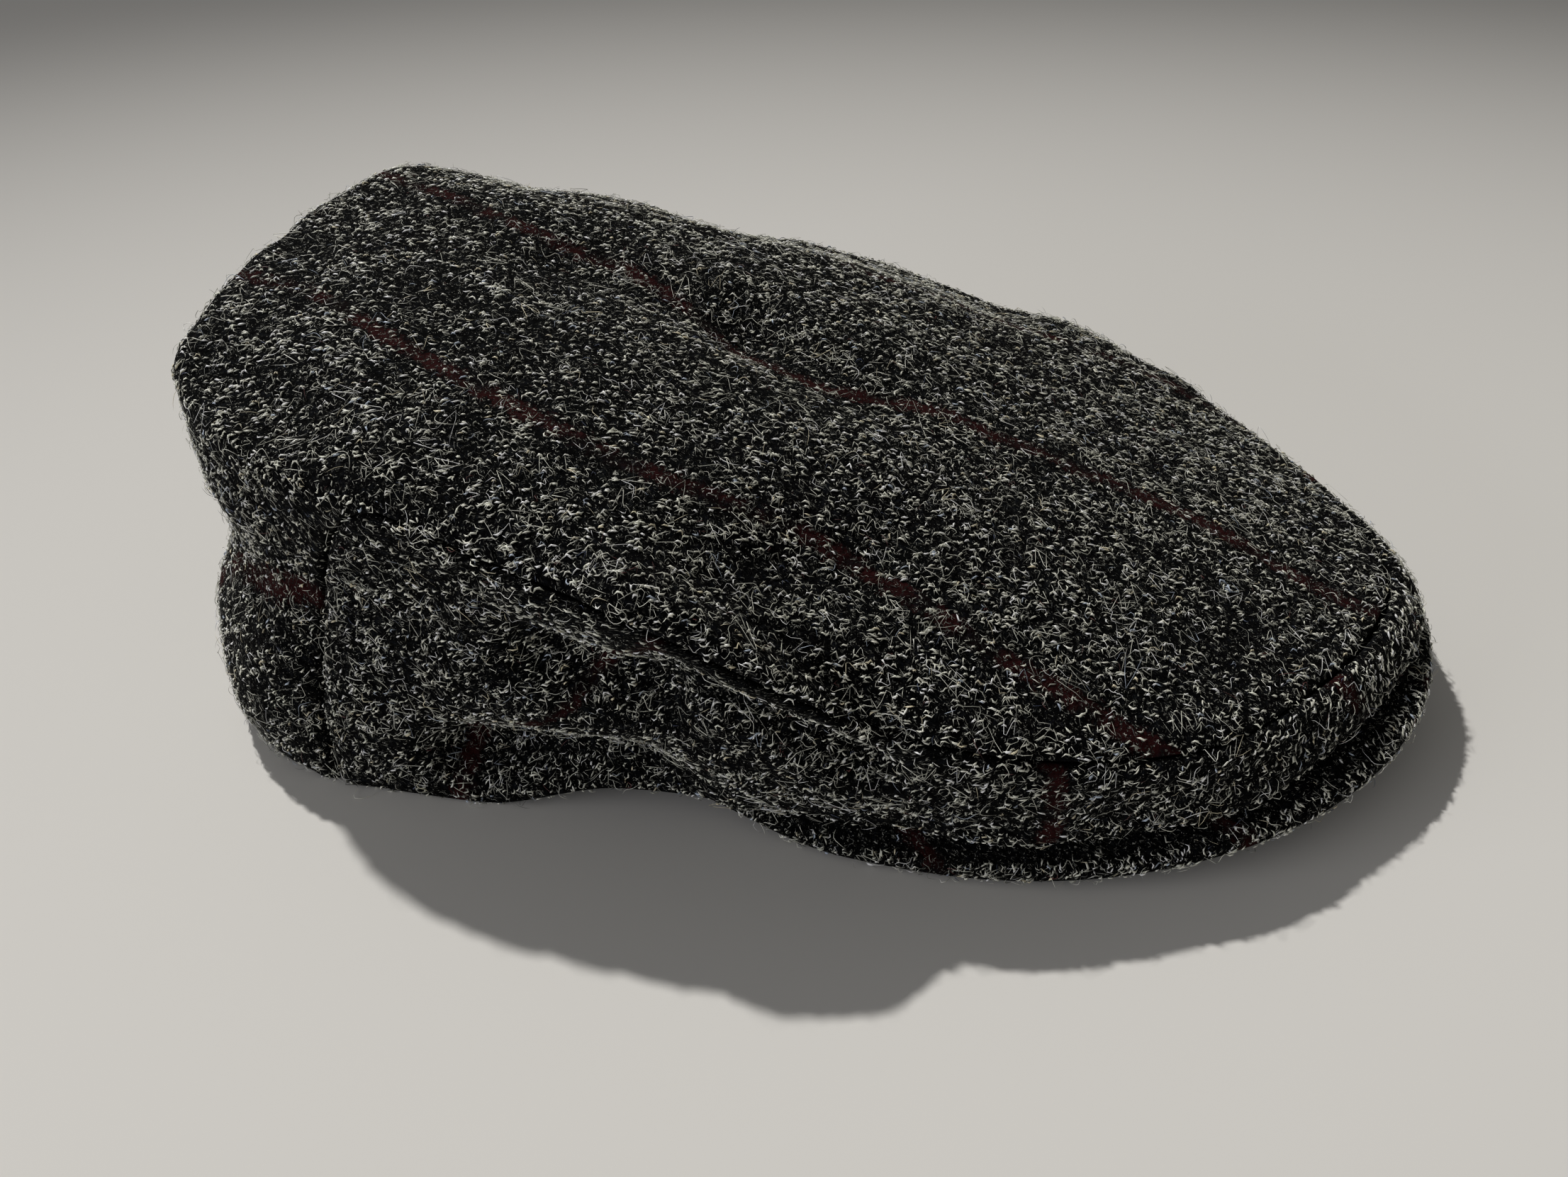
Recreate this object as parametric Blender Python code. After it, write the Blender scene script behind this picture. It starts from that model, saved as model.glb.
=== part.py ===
"""Flat cap of woven wool tweed: a one-piece crown whose back runs down as a tail,
two side panels that meet at the centre front, and a stiff peak under their front edge.

+X is the front (the peak), +Y the wearer's left, +Z up. The cap rests on z = 0.
"""
import functools
import math
from collections import namedtuple

import bmesh
import bpy
import numpy as np

MM = 0.001

# Driving dimensions
CROWN_LENGTH = 277 * MM      # back of the crown to the front edge of the side panels
CROWN_WIDTH = 182 * MM       # across the shoulders of the crown
CROWN_HEIGHT = 90 * MM       # rest plane to the top of the crown
RIM_WIDTH = 174 * MM         # across the outside of the rim
WALL = 2.4 * MM              # tweed with its lining
SEAM_GAP = 0.3 * MM          # between neighbouring pieces
GAP_MARGIN = 1.1             # on the gap of the seams that run up the wall
TAIL_REACH = 62 * MM         # how far the crown's tail comes forward along the shoulder
TAIL_CURVE = 20 * MM         # how far its seams run back below their round top corners
TAIL_CORNER = 6              # 2 is a wide round corner, 10 a tight one
TAIL_FLARE = 5 * MM          # how far they come forward again at the rim
RIM_LIFT = 6.5 * MM          # how far the rim lifts off the table behind the peak's corners
PEAK_LIP = 2 * MM            # how far the peak shows in front of the side panels
PEAK_INSET = 2.5 * MM        # how far the peak's sides lie inside the rim's
PEAK_WIDTH = RIM_WIDTH - 2 * PEAK_INSET
PEAK_REACH = 154 * MM        # peak's corners to its tip
PEAK_DEPTH = 77 * MM         # peak's inner edge to its tip, on the centre line
PEAK_THICKNESS = 4.6 * MM
PEAK_ARCH = 14 * MM          # rise of the peak's middle over its corners
PEAK_SLOPE = 6 * MM          # fall from the peak's inner edge to its tip
HORN_WIDTH = 7 * MM          # width of the peak's plate at its corners

# Shape of the peak's outline, an oval that runs on past its widest place to the corners
PEAK_SQUARENESS = 2.15       # 2 is an ellipse
PEAK_WIDEST = 0.29           # share of PEAK_REACH from the corners to the widest place
CORNER_TURN = math.radians(112.5)   # from the tip round to a corner

# Where the rim rises off the table, measured back from the peak's corners
LIFT_START = 47 * MM
LIFT_LENGTH = 30 * MM
ONTO_PEAK = 15 * MM          # where it starts to rise to the height of the peak
ONTO_LENGTH = 11 * MM

# Mesh density
PANEL_COLUMNS = 32
TAIL_COLUMNS = 20
WALL_ROWS = 8
CROWN_RINGS = 10
PEAK_COLUMNS = 44
PEAK_ROWS = 5
EDGE_POINTS = 5
ROW_CROWDING = 1.4           # above 1 the wall's rows crowd towards the shoulder
RING_CROWDING = 1.25         # and the crown's rings too
U_STEP = 0.002               # small steps over the surface, for normals and lengths
W_STEP = 0.03
TOP_NORMAL = 1.9             # the w of the normal that the crown's very middle takes

# One row per station from the centre back to the centre front. Lengths along the cap are
# shares of CROWN_LENGTH measured from the back, widths are shares of half the crown's or the
# rim's width, heights are shares of CROWN_HEIGHT, on the right and on the left side. Skirt and
# waist are how far the wall stands out low down and high up, as shares of CROWN_HEIGHT.
Station = namedtuple(
    "Station", "shoulder_along shoulder_out right_up left_up rim_along rim_out skirt waist")
STATIONS = [
    Station(-0.008, 0.00, 0.970, 0.970, 0.014, 0.000, 0.00, -0.035),
    Station(-0.004, 0.325, 0.965, 0.970, 0.016, 0.345, 0.00, -0.035),
    Station(0.021, 0.63, 0.930, 0.945, 0.028, 0.710, 0.02, -0.045),
    Station(0.118, 0.85, 0.880, 0.790, 0.112, 0.955, 0.02, -0.045),
    Station(0.275, 0.950, 0.785, 0.675, 0.255, 0.990, 0.02, -0.005),
    Station(0.437, 1.005, 0.655, 0.615, 0.437, 0.915, 0.02, 0.02),
    Station(0.588, 0.967, 0.440, 0.545, 0.592, 0.945, 0.02, 0.02),
    Station(0.733, 0.868, 0.345, 0.410, 0.744, 0.915, 0.01, 0.01),
    Station(0.866, 0.626, 0.333, 0.345, 0.885, 0.680, 0.01, 0.01),
    Station(0.971, 0.00, 0.345, 0.345, 1.000, 0.000, 0.01, 0.01),
]
SKIRT_AT = 0.27              # shares of the way from rim to shoulder
WAIST_AT = 0.62

# The shoulder is rolled over: how far down the wall and how far in over the crown the roll
# reaches, as shares of the way to the rim and to the middle. It is full round the tail, which
# has no seam there, and smaller along the side panels.
ROLL_DOWN = 0.11
ROLL_IN = 0.06
PANEL_ROLL = 0.6             # share of the full roll

# Height of the crown over its centre line
Spine = namedtuple("Spine", "along up")
SPINE = [
    Spine(0.00, 0.945),
    Spine(0.11, 0.960),
    Spine(0.26, 0.920),
    Spine(0.44, 0.820),
    Spine(0.59, 0.700),
    Spine(0.74, 0.580),
    Spine(0.88, 0.460),
    Spine(0.971, 0.345),
]

CHARCOAL = (0.045, 0.045, 0.050)
PEAK_CHARCOAL = (0.040, 0.040, 0.045)
CLOTH_ROUGHNESS = 0.9

CROWN_CENTRE = 0.47          # middle of the crown's rings, as a share of CROWN_LENGTH
DOME_SHARPNESS = 3.0         # how late the crown turns down towards its shoulder
DOME_FULLNESS = 0.75         # how steeply it meets the shoulder

FOLD_START = 0.17            # folds fade out towards the rim below this w

# Dents and folds: a valley (depth above 0) or ridge (below 0) along a line between two places
# of the surface. Places are shares of CROWN_LENGTH, half CROWN_WIDTH (right side negative) and
# CROWN_HEIGHT; width and depth are shares of CROWN_HEIGHT.
Fold = namedtuple("Fold", "name start end width depth")
FOLDS = [
    Fold("tuck above the right rim", (0.23, -0.98, 0.19), (0.40, -0.96, 0.19), 0.11, 0.075),
    Fold("dent in the right panel", (0.35, -0.98, 0.50), (0.40, -0.98, 0.50), 0.09, 0.035),
    Fold("valley under the crown's edge", (0.41, -1.00, 0.58), (0.59, -0.98, 0.37), 0.08, 0.035),
    Fold("roll of the crown's edge", (0.43, -0.94, 0.76), (0.54, -0.98, 0.58), 0.09, -0.025),
    Fold("hollow over the right temple", (0.48, -0.79, 0.73), (0.55, -0.67, 0.67), 0.13, 0.040),
    Fold("hollow at the right back corner", (0.06, -0.64, 0.91), (0.14, -0.75, 0.90), 0.10, 0.030),
    Fold("long valley, back part", (0.26, 0.03, 0.92), (0.43, 0.27, 0.82), 0.12, 0.040),
    Fold("long valley, front part", (0.43, 0.27, 0.82), (0.57, 0.25, 0.72), 0.12, 0.035),
    Fold("sag of the left edge", (0.33, 0.80, 0.76), (0.60, 0.85, 0.61), 0.17, 0.045),
    Fold("bulge of the left temple", (0.68, 0.82, 0.52), (0.78, 0.75, 0.46), 0.17, -0.030),
    Fold("dip behind the left back corner", (0.13, 0.62, 0.94), (0.17, 0.80, 0.80), 0.12, 0.020),
    Fold("right tail seam", (0.155, -0.94, 0.08), (0.150, -0.90, 0.60), 0.06, 0.022),
    Fold("left tail seam", (0.155, 0.94, 0.08), (0.150, 0.90, 0.60), 0.06, 0.022),
    Fold("bulge under the right back corner", (0.04, -0.62, 0.72), (0.09, -0.80, 0.68), 0.12, -0.030),
    Fold("pinch of the right back wall", (0.04, -0.62, 0.50), (0.10, -0.80, 0.48), 0.14, 0.045),
    Fold("ridge beside the tail seam", (0.09, -0.84, 0.15), (0.12, -0.86, 0.45), 0.10, -0.025),
]


def smoothstep(value):
    t = np.clip(value, 0.0, 1.0)
    return t * t * (3 - 2 * t)


def around(right, u, left=None):
    """Smooth closed curve through one value per station; u runs from 0 at the centre back
    over the right side to 0.5 at the centre front and on to 1 over the left side."""
    right = list(right)
    left = right if left is None else list(left)
    ring = np.array(right + left[-2:0:-1])
    place = np.mod(np.asarray(u, float), 1.0) * len(ring)
    first = np.floor(place).astype(int)
    t = place - first
    a, b, c, d = (ring[(first + step) % len(ring)] for step in (-1, 0, 1, 2))
    return b + 0.5 * t * (c - a + t * (2 * a - 5 * b + 4 * c - d + t * (3 * (b - c) + d - a)))


def along_spine(x):
    share = x / CROWN_LENGTH
    knots = np.array([row.along for row in SPINE])
    heights = np.array([row.up for row in SPINE])
    slopes = np.gradient(heights, knots)
    share = np.clip(share, knots[0], knots[-1])
    cell = np.clip(np.searchsorted(knots, share) - 1, 0, len(knots) - 2)
    span = knots[cell + 1] - knots[cell]
    t = (share - knots[cell]) / span
    up = ((1 + 2 * t) * (1 - t) ** 2 * heights[cell] + t * (1 - t) ** 2 * span * slopes[cell]
          + t ** 2 * (3 - 2 * t) * heights[cell + 1] + t ** 2 * (t - 1) * span * slopes[cell + 1])
    return up * CROWN_HEIGHT


def peak_tip():
    return CROWN_LENGTH + PEAK_LIP


def peak_widest():
    return peak_tip() - (1 - PEAK_WIDEST) * PEAK_REACH


def peak_half_width(x):
    """Half the peak's width at x: the full one in front of its widest place."""
    behind = (peak_widest() - x) / (peak_tip() - peak_widest())
    behind = np.clip(behind, 0, PEAK_WIDEST / (1 - PEAK_WIDEST))
    return PEAK_WIDTH / 2 * (1 - behind ** PEAK_SQUARENESS) ** (1 / PEAK_SQUARENESS)


def peak_top(x, y):
    """Height of the peak's upper face: arched across and falling a little to the front."""
    across = np.clip(np.abs(y) / peak_half_width(x), 0, 1)
    arch = 1 - across ** 2
    back = np.clip((peak_tip() - x) / PEAK_DEPTH, 0, 1)
    return PEAK_THICKNESS + arch * (PEAK_ARCH + PEAK_SLOPE * back)


def seat(x, y):
    """Height of what lies under the rim: the table, lifted off it behind the peak's corner,
    and the peak's upper face in front."""
    ahead = x - (peak_tip() - PEAK_REACH)
    lift = RIM_LIFT * smoothstep((ahead + LIFT_START) / LIFT_LENGTH)
    lift = lift * (1 - smoothstep(ahead / LIFT_LENGTH))
    over_peak = smoothstep((ahead + ONTO_PEAK) / ONTO_LENGTH)
    return np.maximum(lift, over_peak * (peak_top(x, y) + SEAM_GAP))


def column(name, u):
    """A column of the station table at u, the same on both sides."""
    return around([getattr(row, name) for row in STATIONS], u)


def width_column(name, u):
    """A column of widths, negative on the right side."""
    widths = [getattr(row, name) for row in STATIONS]
    return around([-w for w in widths], u, left=widths)


def rim_point(u):
    x = column("rim_along", u) * CROWN_LENGTH
    y = width_column("rim_out", u) * RIM_WIDTH / 2
    return np.stack([x, y, seat(x, y)], -1)


def shoulder_point(u):
    x = column("shoulder_along", u) * CROWN_LENGTH
    y = width_column("shoulder_out", u) * CROWN_WIDTH / 2
    z = around([row.right_up for row in STATIONS], u, left=[row.left_up for row in STATIONS])
    return np.stack([x, y, z * CROWN_HEIGHT], -1)


@functools.cache
def tail_seam():
    """The u of the right vertical seam, where the shoulder is TAIL_REACH from the back."""
    low, high = 0.0, 0.5
    while high - low > 1e-6:
        middle = (low + high) / 2
        if shoulder_point(middle)[0] < TAIL_REACH:
            low = middle
        else:
            high = middle
    return middle


def angular_surface(u, w):
    """Outer face with neither folds nor roll. w runs from 0 at the rim over 1 at the shoulder
    to 2 at the middle of the crown."""
    u, w = np.broadcast_arrays(np.asarray(u, float), np.asarray(w, float))
    rim, shoulder = rim_point(u), shoulder_point(u)
    s = np.clip(w, 0, 1)[..., None]
    outward = shoulder - [CROWN_CENTRE * CROWN_LENGTH, 0, 0]
    outward[..., 2] = 0
    outward /= np.linalg.norm(outward, axis=-1, keepdims=True)
    between = s * (1 - s) / (WAIST_AT - SKIRT_AT)
    skirt = between * (WAIST_AT - s) / (SKIRT_AT * (1 - SKIRT_AT)) * column("skirt", u)[..., None]
    waist = between * (s - SKIRT_AT) / (WAIST_AT * (1 - WAIST_AT)) * column("waist", u)[..., None]
    wall = rim + (shoulder - rim) * s + outward * (skirt + waist) * CROWN_HEIGHT
    r = np.clip(2 - w, 0, 1)
    x = CROWN_CENTRE * CROWN_LENGTH + r * (shoulder[..., 0] - CROWN_CENTRE * CROWN_LENGTH)
    y = r * shoulder[..., 1]
    full = (1 - r ** DOME_SHARPNESS) ** DOME_FULLNESS
    z = shoulder[..., 2] * (1 - full) + along_spine(x) * full
    return np.where(w[..., None] <= 1, wall, np.stack([x, y, z], -1))


def plain_surface(u, w):
    """Outer face without folds: the shoulder's edge is rolled over."""
    u, w = np.broadcast_arrays(np.asarray(u, float), np.asarray(w, float))
    to_back = np.minimum(np.mod(u, 1), 1 - np.mod(u, 1)) / tail_seam()
    roll = PANEL_ROLL + (1 - PANEL_ROLL) * (1 - smoothstep(2 * to_back - 1))
    down, over = ROLL_DOWN * roll, ROLL_IN * roll
    t = np.clip((w - 1 + down) / (down + over), 0, 1)[..., None]
    low, edge, high = (angular_surface(u, at) for at in (1 - down, 1.0, 1 + over))
    rolled = (1 - t) ** 2 * low + 2 * t * (1 - t) * edge + t ** 2 * high
    return np.where((t > 0) & (t < 1), rolled, angular_surface(u, w))


def normal_of(surface, u, w):
    """Unit outward normal from small steps over the surface."""
    w = np.clip(w, W_STEP, TOP_NORMAL)
    across = surface(u + U_STEP, w) - surface(u - U_STEP, w)
    up = surface(u, w + W_STEP) - surface(u, w - W_STEP)
    normal = np.cross(across, up)
    return normal / np.linalg.norm(normal, axis=-1, keepdims=True)


def fold_depth(points):
    """How far the folds push each point inwards."""
    scale = np.array([CROWN_LENGTH, CROWN_WIDTH / 2, CROWN_HEIGHT])
    depth = np.zeros(points.shape[:-1])
    for fold in FOLDS:
        start, end = np.array(fold.start) * scale, np.array(fold.end) * scale
        run = end - start
        t = np.clip(((points - start) @ run) / (run @ run), 0, 1)
        distance = np.linalg.norm(points - start - t[..., None] * run, axis=-1)
        depth += fold.depth * CROWN_HEIGHT * np.exp(-(distance / (fold.width * CROWN_HEIGHT)) ** 2)
    return depth


def outer_surface(u, w):
    points = plain_surface(u, w)
    u, w = np.broadcast_arrays(np.asarray(u, float), np.asarray(w, float))
    push = fold_depth(points) * smoothstep(w / FOLD_START)
    return points - normal_of(plain_surface, u, w) * push[..., None]


def make_material(name, colour):
    material = bpy.data.materials.new(name)
    material.use_nodes = True
    shader = material.node_tree.nodes["Principled BSDF"]
    shader.inputs["Base Color"].default_value = (*colour, 1)
    shader.inputs["Roughness"].default_value = CLOTH_ROUGHNESS
    shader.inputs["Metallic"].default_value = 0
    return material


def add_object(name, vertices, faces, material):
    mesh = bpy.data.meshes.new(name)
    mesh.from_pydata([tuple(v) for v in vertices], [], faces)
    mesh.validate()
    work = bmesh.new()
    work.from_mesh(mesh)
    bmesh.ops.remove_doubles(work, verts=work.verts, dist=0.00001)
    bmesh.ops.recalc_face_normals(work, faces=work.faces)
    work.to_mesh(mesh)
    work.free()
    mesh.shade_smooth()
    mesh.set_sharp_from_angle(angle=math.radians(50))
    mesh.materials.append(material)
    item = bpy.data.objects.new(name, mesh)
    bpy.context.scene.collection.objects.link(item)
    return item


class Shell:
    """Outer vertices with the cloth's thickness behind them, closed round every free edge."""

    def __init__(self):
        self.outer, self.inner, self.faces = [], [], []

    def add(self, u, w, seam_u=None, seam_w=None):
        u, w = np.broadcast_arrays(np.asarray(u, float), np.asarray(w, float))
        seam_u = u if seam_u is None else np.broadcast_to(seam_u, u.shape)
        seam_w = w if seam_w is None else np.broadcast_to(seam_w, w.shape)
        outer = outer_surface(u, w)
        inner = outer - WALL * normal_of(plain_surface, seam_u, seam_w)
        floor = seat(inner[..., 0], inner[..., 1])
        inner[..., 2] = np.where(w <= 0, floor, np.maximum(inner[..., 2], floor))
        first = len(self.outer)
        self.outer += list(outer.reshape(-1, 3))
        self.inner += list(inner.reshape(-1, 3))
        return np.arange(first, first + u.size).reshape(u.shape)

    def skin(self, grid, closed=False):
        rows, columns = grid.shape
        for j in range(rows - 1):
            for i in range(columns if closed else columns - 1):
                k = (i + 1) % columns
                self.faces.append((grid[j, i], grid[j, k], grid[j + 1, k], grid[j + 1, i]))

    def fan(self, ring, tip):
        for i in range(len(ring)):
            self.faces.append((ring[i], ring[(i + 1) % len(ring)], tip))

    def build(self, name, material):
        count = len(self.outer)
        edges = {}
        for face in self.faces:
            for a, b in zip(face, face[1:] + face[:1]):
                edges[(a, b)] = True
        border = [edge for edge in edges if (edge[1], edge[0]) not in edges]
        faces = list(self.faces)
        faces += [tuple(v + count for v in reversed(face)) for face in self.faces]
        for a, b in border:
            # both sides of a seam split their twisted edge faces along the same diagonal
            if self.outer[a][0] + self.outer[a][2] < self.outer[b][0] + self.outer[b][2]:
                faces += [(b, a, a + count), (b, a + count, b + count)]
            else:
                faces += [(b, a, b + count), (a, a + count, b + count)]
        faces = [tuple(int(v) for v in face) for face in faces]
        return add_object(name, self.outer + self.inner, faces, material)


def arc_speed(u, w):
    """Length along the surface for each unit of u."""
    run = outer_surface(u + U_STEP, w) - outer_surface(u - U_STEP, w)
    return np.linalg.norm(run, axis=-1) / (2 * U_STEP)


def half_gap(u, w):
    """Half a seam's gap as a step of u, for a seam that runs up the wall at u."""
    return SEAM_GAP / 2 * GAP_MARGIN / arc_speed(u, w)


def columns_between(start, end, count):
    """Columns from one seam to the next, a row of u for each pair of ends."""
    share = np.linspace(0, 1, count + 1)
    return np.asarray(start)[:, None] * (1 - share) + np.asarray(end)[:, None] * share


def build_cloth(material):
    wall = 1 - np.linspace(1, 0, WALL_ROWS + 1) ** ROW_CROWDING
    top = tail_seam()
    back = TAIL_CURVE * (1 - wall ** TAIL_CORNER) - TAIL_FLARE * (1 - wall) ** 2
    seam = top - back / arc_speed(top, 0.5)
    tail_gap = half_gap(seam, wall)
    front_gap = half_gap(0.5, wall)

    def seam_row(u, way):
        """w of a shoulder row that stops half a gap under (-1) or over (1) the shoulder."""
        step = W_STEP * way
        rise = np.linalg.norm(outer_surface(u, 1 + step) - outer_surface(u, 1), axis=-1)
        return 1 + step * SEAM_GAP / 2 / rise

    pieces = []
    panel = columns_between(seam + tail_gap, 0.5 - front_gap, PANEL_COLUMNS)
    panel_seams = columns_between(seam, np.full(len(wall), 0.5), PANEL_COLUMNS)
    panel_seams[:, 1:-1] = panel[:, 1:-1]
    heights = np.tile(wall[:, None], (1, PANEL_COLUMNS + 1))
    for name, columns, seams in (
            ("side_panel_right", panel, panel_seams),
            ("side_panel_left", 1 - panel, 1 - panel_seams)):
        shell = Shell()
        rows = heights.copy()
        rows[-1] = seam_row(columns[-1], -1)
        grid = shell.add(columns, rows, seams, heights)
        shell.skin(grid if name.endswith("right") else grid[:, ::-1])
        pieces.append(shell.build(name, material))

    tail = columns_between(-seam + tail_gap, seam - tail_gap, TAIL_COLUMNS)
    tail_seams = columns_between(-seam, seam, TAIL_COLUMNS)
    tail_seams[:, 1:-1] = tail[:, 1:-1]
    ring = np.concatenate([tail[-1], panel[-1, 1:-1], [0.5], (1 - panel[-1, 1:-1])[::-1]])
    inward = np.linspace(0, 1, CROWN_RINGS + 1)[:-1, None] ** RING_CROWDING
    rings = np.tile(1 + inward, (1, len(ring)))
    ring_seams = rings.copy()
    rings[0] = seam_row(ring, 1)
    shell = Shell()
    crown = shell.add(np.tile(ring, (CROWN_RINGS, 1)), rings, seam_w=ring_seams)
    shell.skin(crown, closed=True)
    shell.fan(list(crown[-1]), int(shell.add(0.25, 2.0)))
    drop = shell.add(tail[:-1], heights[:-1, :TAIL_COLUMNS + 1], tail_seams[:-1])
    shell.skin(np.vstack([drop, crown[0][None, :TAIL_COLUMNS + 1]]))
    pieces.append(shell.build("crown_top", material))
    return pieces


def build_peak(material):
    """A crescent plate with a round outer edge, its corners inside the rim."""
    widest = peak_widest()
    turn = np.linspace(-CORNER_TURN, CORNER_TURN, PEAK_COLUMNS + 1)
    power = 2 / PEAK_SQUARENESS
    out_x = widest + (peak_tip() - widest) * np.sign(np.cos(turn)) * np.abs(np.cos(turn)) ** power
    out_y = PEAK_WIDTH / 2 * np.sign(np.sin(turn)) * np.abs(np.sin(turn)) ** power
    bend = turn / turn[-1] * math.pi / 2
    in_x = out_x[0] + (peak_tip() - PEAK_DEPTH - out_x[0]) * np.cos(bend)
    in_y = (abs(out_y[0]) - HORN_WIDTH) * np.sin(bend)
    half = PEAK_THICKNESS / 2
    sections = []
    for k in range(len(turn)):
        inner, outer = np.array([in_x[k], in_y[k]]), np.array([out_x[k], out_y[k]])
        run = outer - inner
        length = np.linalg.norm(run)
        run /= length
        flat = [inner + run * (length - half) * t for t in np.linspace(0, 1, PEAK_ROWS + 1)]
        top = [(p[0], p[1], peak_top(*p)) for p in flat]
        centre = flat[-1]
        level = peak_top(*centre) - half
        edge = []
        for a in np.radians(np.linspace(90, -90, EDGE_POINTS + 2)[1:-1]):
            p = centre + run * half * math.cos(a)
            edge.append((p[0], p[1], level + half * math.sin(a)))
        bottom = [(p[0], p[1], peak_top(*p) - PEAK_THICKNESS) for p in reversed(flat)]
        sections.append(top + edge + bottom)
    size = len(sections[0])
    vertices = [v for section in sections for v in section]
    faces = []
    for k in range(len(sections) - 1):
        for j in range(size):
            a, b = k * size + j, k * size + (j + 1) % size
            faces.append((a, b, b + size, a + size))
    faces.append(tuple(range(size - 1, -1, -1)))
    faces.append(tuple(range((len(sections) - 1) * size, len(sections) * size)))
    return add_object("peak", vertices, faces, material)


def stand_on_origin(pieces):
    """Put the middle of the cap's underside box on the origin."""
    corners = np.array([v.co for piece in pieces for v in piece.data.vertices])
    low, high = corners.min(0), corners.max(0)
    shift = -np.array([(low[0] + high[0]) / 2, (low[1] + high[1]) / 2, low[2]])
    for piece in pieces:
        for vertex in piece.data.vertices:
            vertex.co = np.array(vertex.co) + shift


def main():
    for item in list(bpy.data.objects):
        bpy.data.objects.remove(item, do_unlink=True)
    tweed = make_material("charcoal_tweed", CHARCOAL)
    peak_tweed = make_material("peak_tweed", PEAK_CHARCOAL)
    pieces = build_cloth(tweed)
    pieces.append(build_peak(peak_tweed))
    stand_on_origin(pieces)


main()
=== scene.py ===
"""Looks of the flat cap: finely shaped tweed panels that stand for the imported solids, with their
weave and overcheck lines, turned seams, wool flecks and stray hairs, on a pale floor."""
import functools
import math
from collections import namedtuple

import bpy
import numpy as np
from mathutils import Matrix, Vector, kdtree, noise


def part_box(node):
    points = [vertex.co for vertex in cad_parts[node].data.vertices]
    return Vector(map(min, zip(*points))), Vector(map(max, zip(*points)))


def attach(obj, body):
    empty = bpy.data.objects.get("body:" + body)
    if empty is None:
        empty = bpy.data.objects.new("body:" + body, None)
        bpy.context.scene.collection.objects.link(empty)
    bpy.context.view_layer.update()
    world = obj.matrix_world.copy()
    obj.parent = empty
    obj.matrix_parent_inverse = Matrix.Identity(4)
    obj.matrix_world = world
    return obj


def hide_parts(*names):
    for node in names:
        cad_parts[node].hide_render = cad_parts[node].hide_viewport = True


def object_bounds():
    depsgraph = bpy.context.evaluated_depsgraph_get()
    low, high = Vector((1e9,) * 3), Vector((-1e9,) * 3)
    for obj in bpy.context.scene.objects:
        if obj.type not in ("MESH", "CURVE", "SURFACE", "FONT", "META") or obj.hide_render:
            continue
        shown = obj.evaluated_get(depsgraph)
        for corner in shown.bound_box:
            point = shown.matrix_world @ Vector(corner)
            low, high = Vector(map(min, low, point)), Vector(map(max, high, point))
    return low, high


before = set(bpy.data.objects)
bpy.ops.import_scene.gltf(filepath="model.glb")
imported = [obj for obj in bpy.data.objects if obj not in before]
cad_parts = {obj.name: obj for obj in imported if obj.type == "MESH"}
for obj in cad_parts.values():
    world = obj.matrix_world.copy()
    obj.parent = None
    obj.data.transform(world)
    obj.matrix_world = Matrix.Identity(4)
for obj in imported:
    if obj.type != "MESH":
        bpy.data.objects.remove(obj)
cad_low, cad_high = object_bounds()

MM = 0.001

# Driving dimensions of the cap, in its own frame: x from the back of the crown, z from the table
CROWN_LENGTH = 277 * MM
CROWN_WIDTH = 182 * MM
CROWN_HEIGHT = 90 * MM
RIM_WIDTH = 174 * MM
WALL = 2.4 * MM
SEAM_GAP = 0.3 * MM          # between two panels, and from the rim down to the peak
TAIL_REACH = 64 * MM         # from the crown's back to the top of the tail's vertical seams
TAIL_CURVE = 20 * MM         # lower down these seams lie so much nearer the centre back,
TAIL_CORNER = 6              # below a corner this sharp,
TAIL_FLARE = 5 * MM          # and they flare out by this much at the rim
RIM_LIFT = 6.5 * MM          # height of the rim's arch over the table, behind the peak
LIFT_START = 47 * MM         # the arch starts this far behind the peak's rear end
LIFT_LENGTH = 30 * MM
ONTO_PEAK = 15 * MM          # and the rim climbs onto the peak from here, over this length
ONTO_LENGTH = 11 * MM
PEAK_LIP = 2 * MM            # how far the peak reaches out in front of the crown
PEAK_INSET = 2.5 * MM        # from the rim's side to the peak's
PEAK_WIDTH = RIM_WIDTH - 2 * PEAK_INSET
PEAK_REACH = 154 * MM        # from the tip to the horns' ends
PEAK_DEPTH = 77 * MM         # of the crescent, in its middle
PEAK_THICKNESS = 4.6 * MM
PEAK_ARCH = 14 * MM          # rise of the peak's middle over its sides
PEAK_SLOPE = 6 * MM          # fall of its middle from the head to the tip
PEAK_SQUARENESS = 2.15       # 2 is an ellipse
PEAK_WIDEST = 0.29           # how much of PEAK_REACH lies behind the widest place
CORNER_TURN = math.radians(112.5)  # turn of the outline from the tip to a horn's end
HORN_WIDTH = 7 * MM

# Two numbers name a place on the cap: u runs round it, w up from the rim. Steps for its normals:
U_STEP = 0.002
W_STEP = 0.03
TOP_NORMAL = 1.9             # nearer the crown's middle the normal stays as it is here
POLE = 2.0                   # w at the crown's middle

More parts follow.
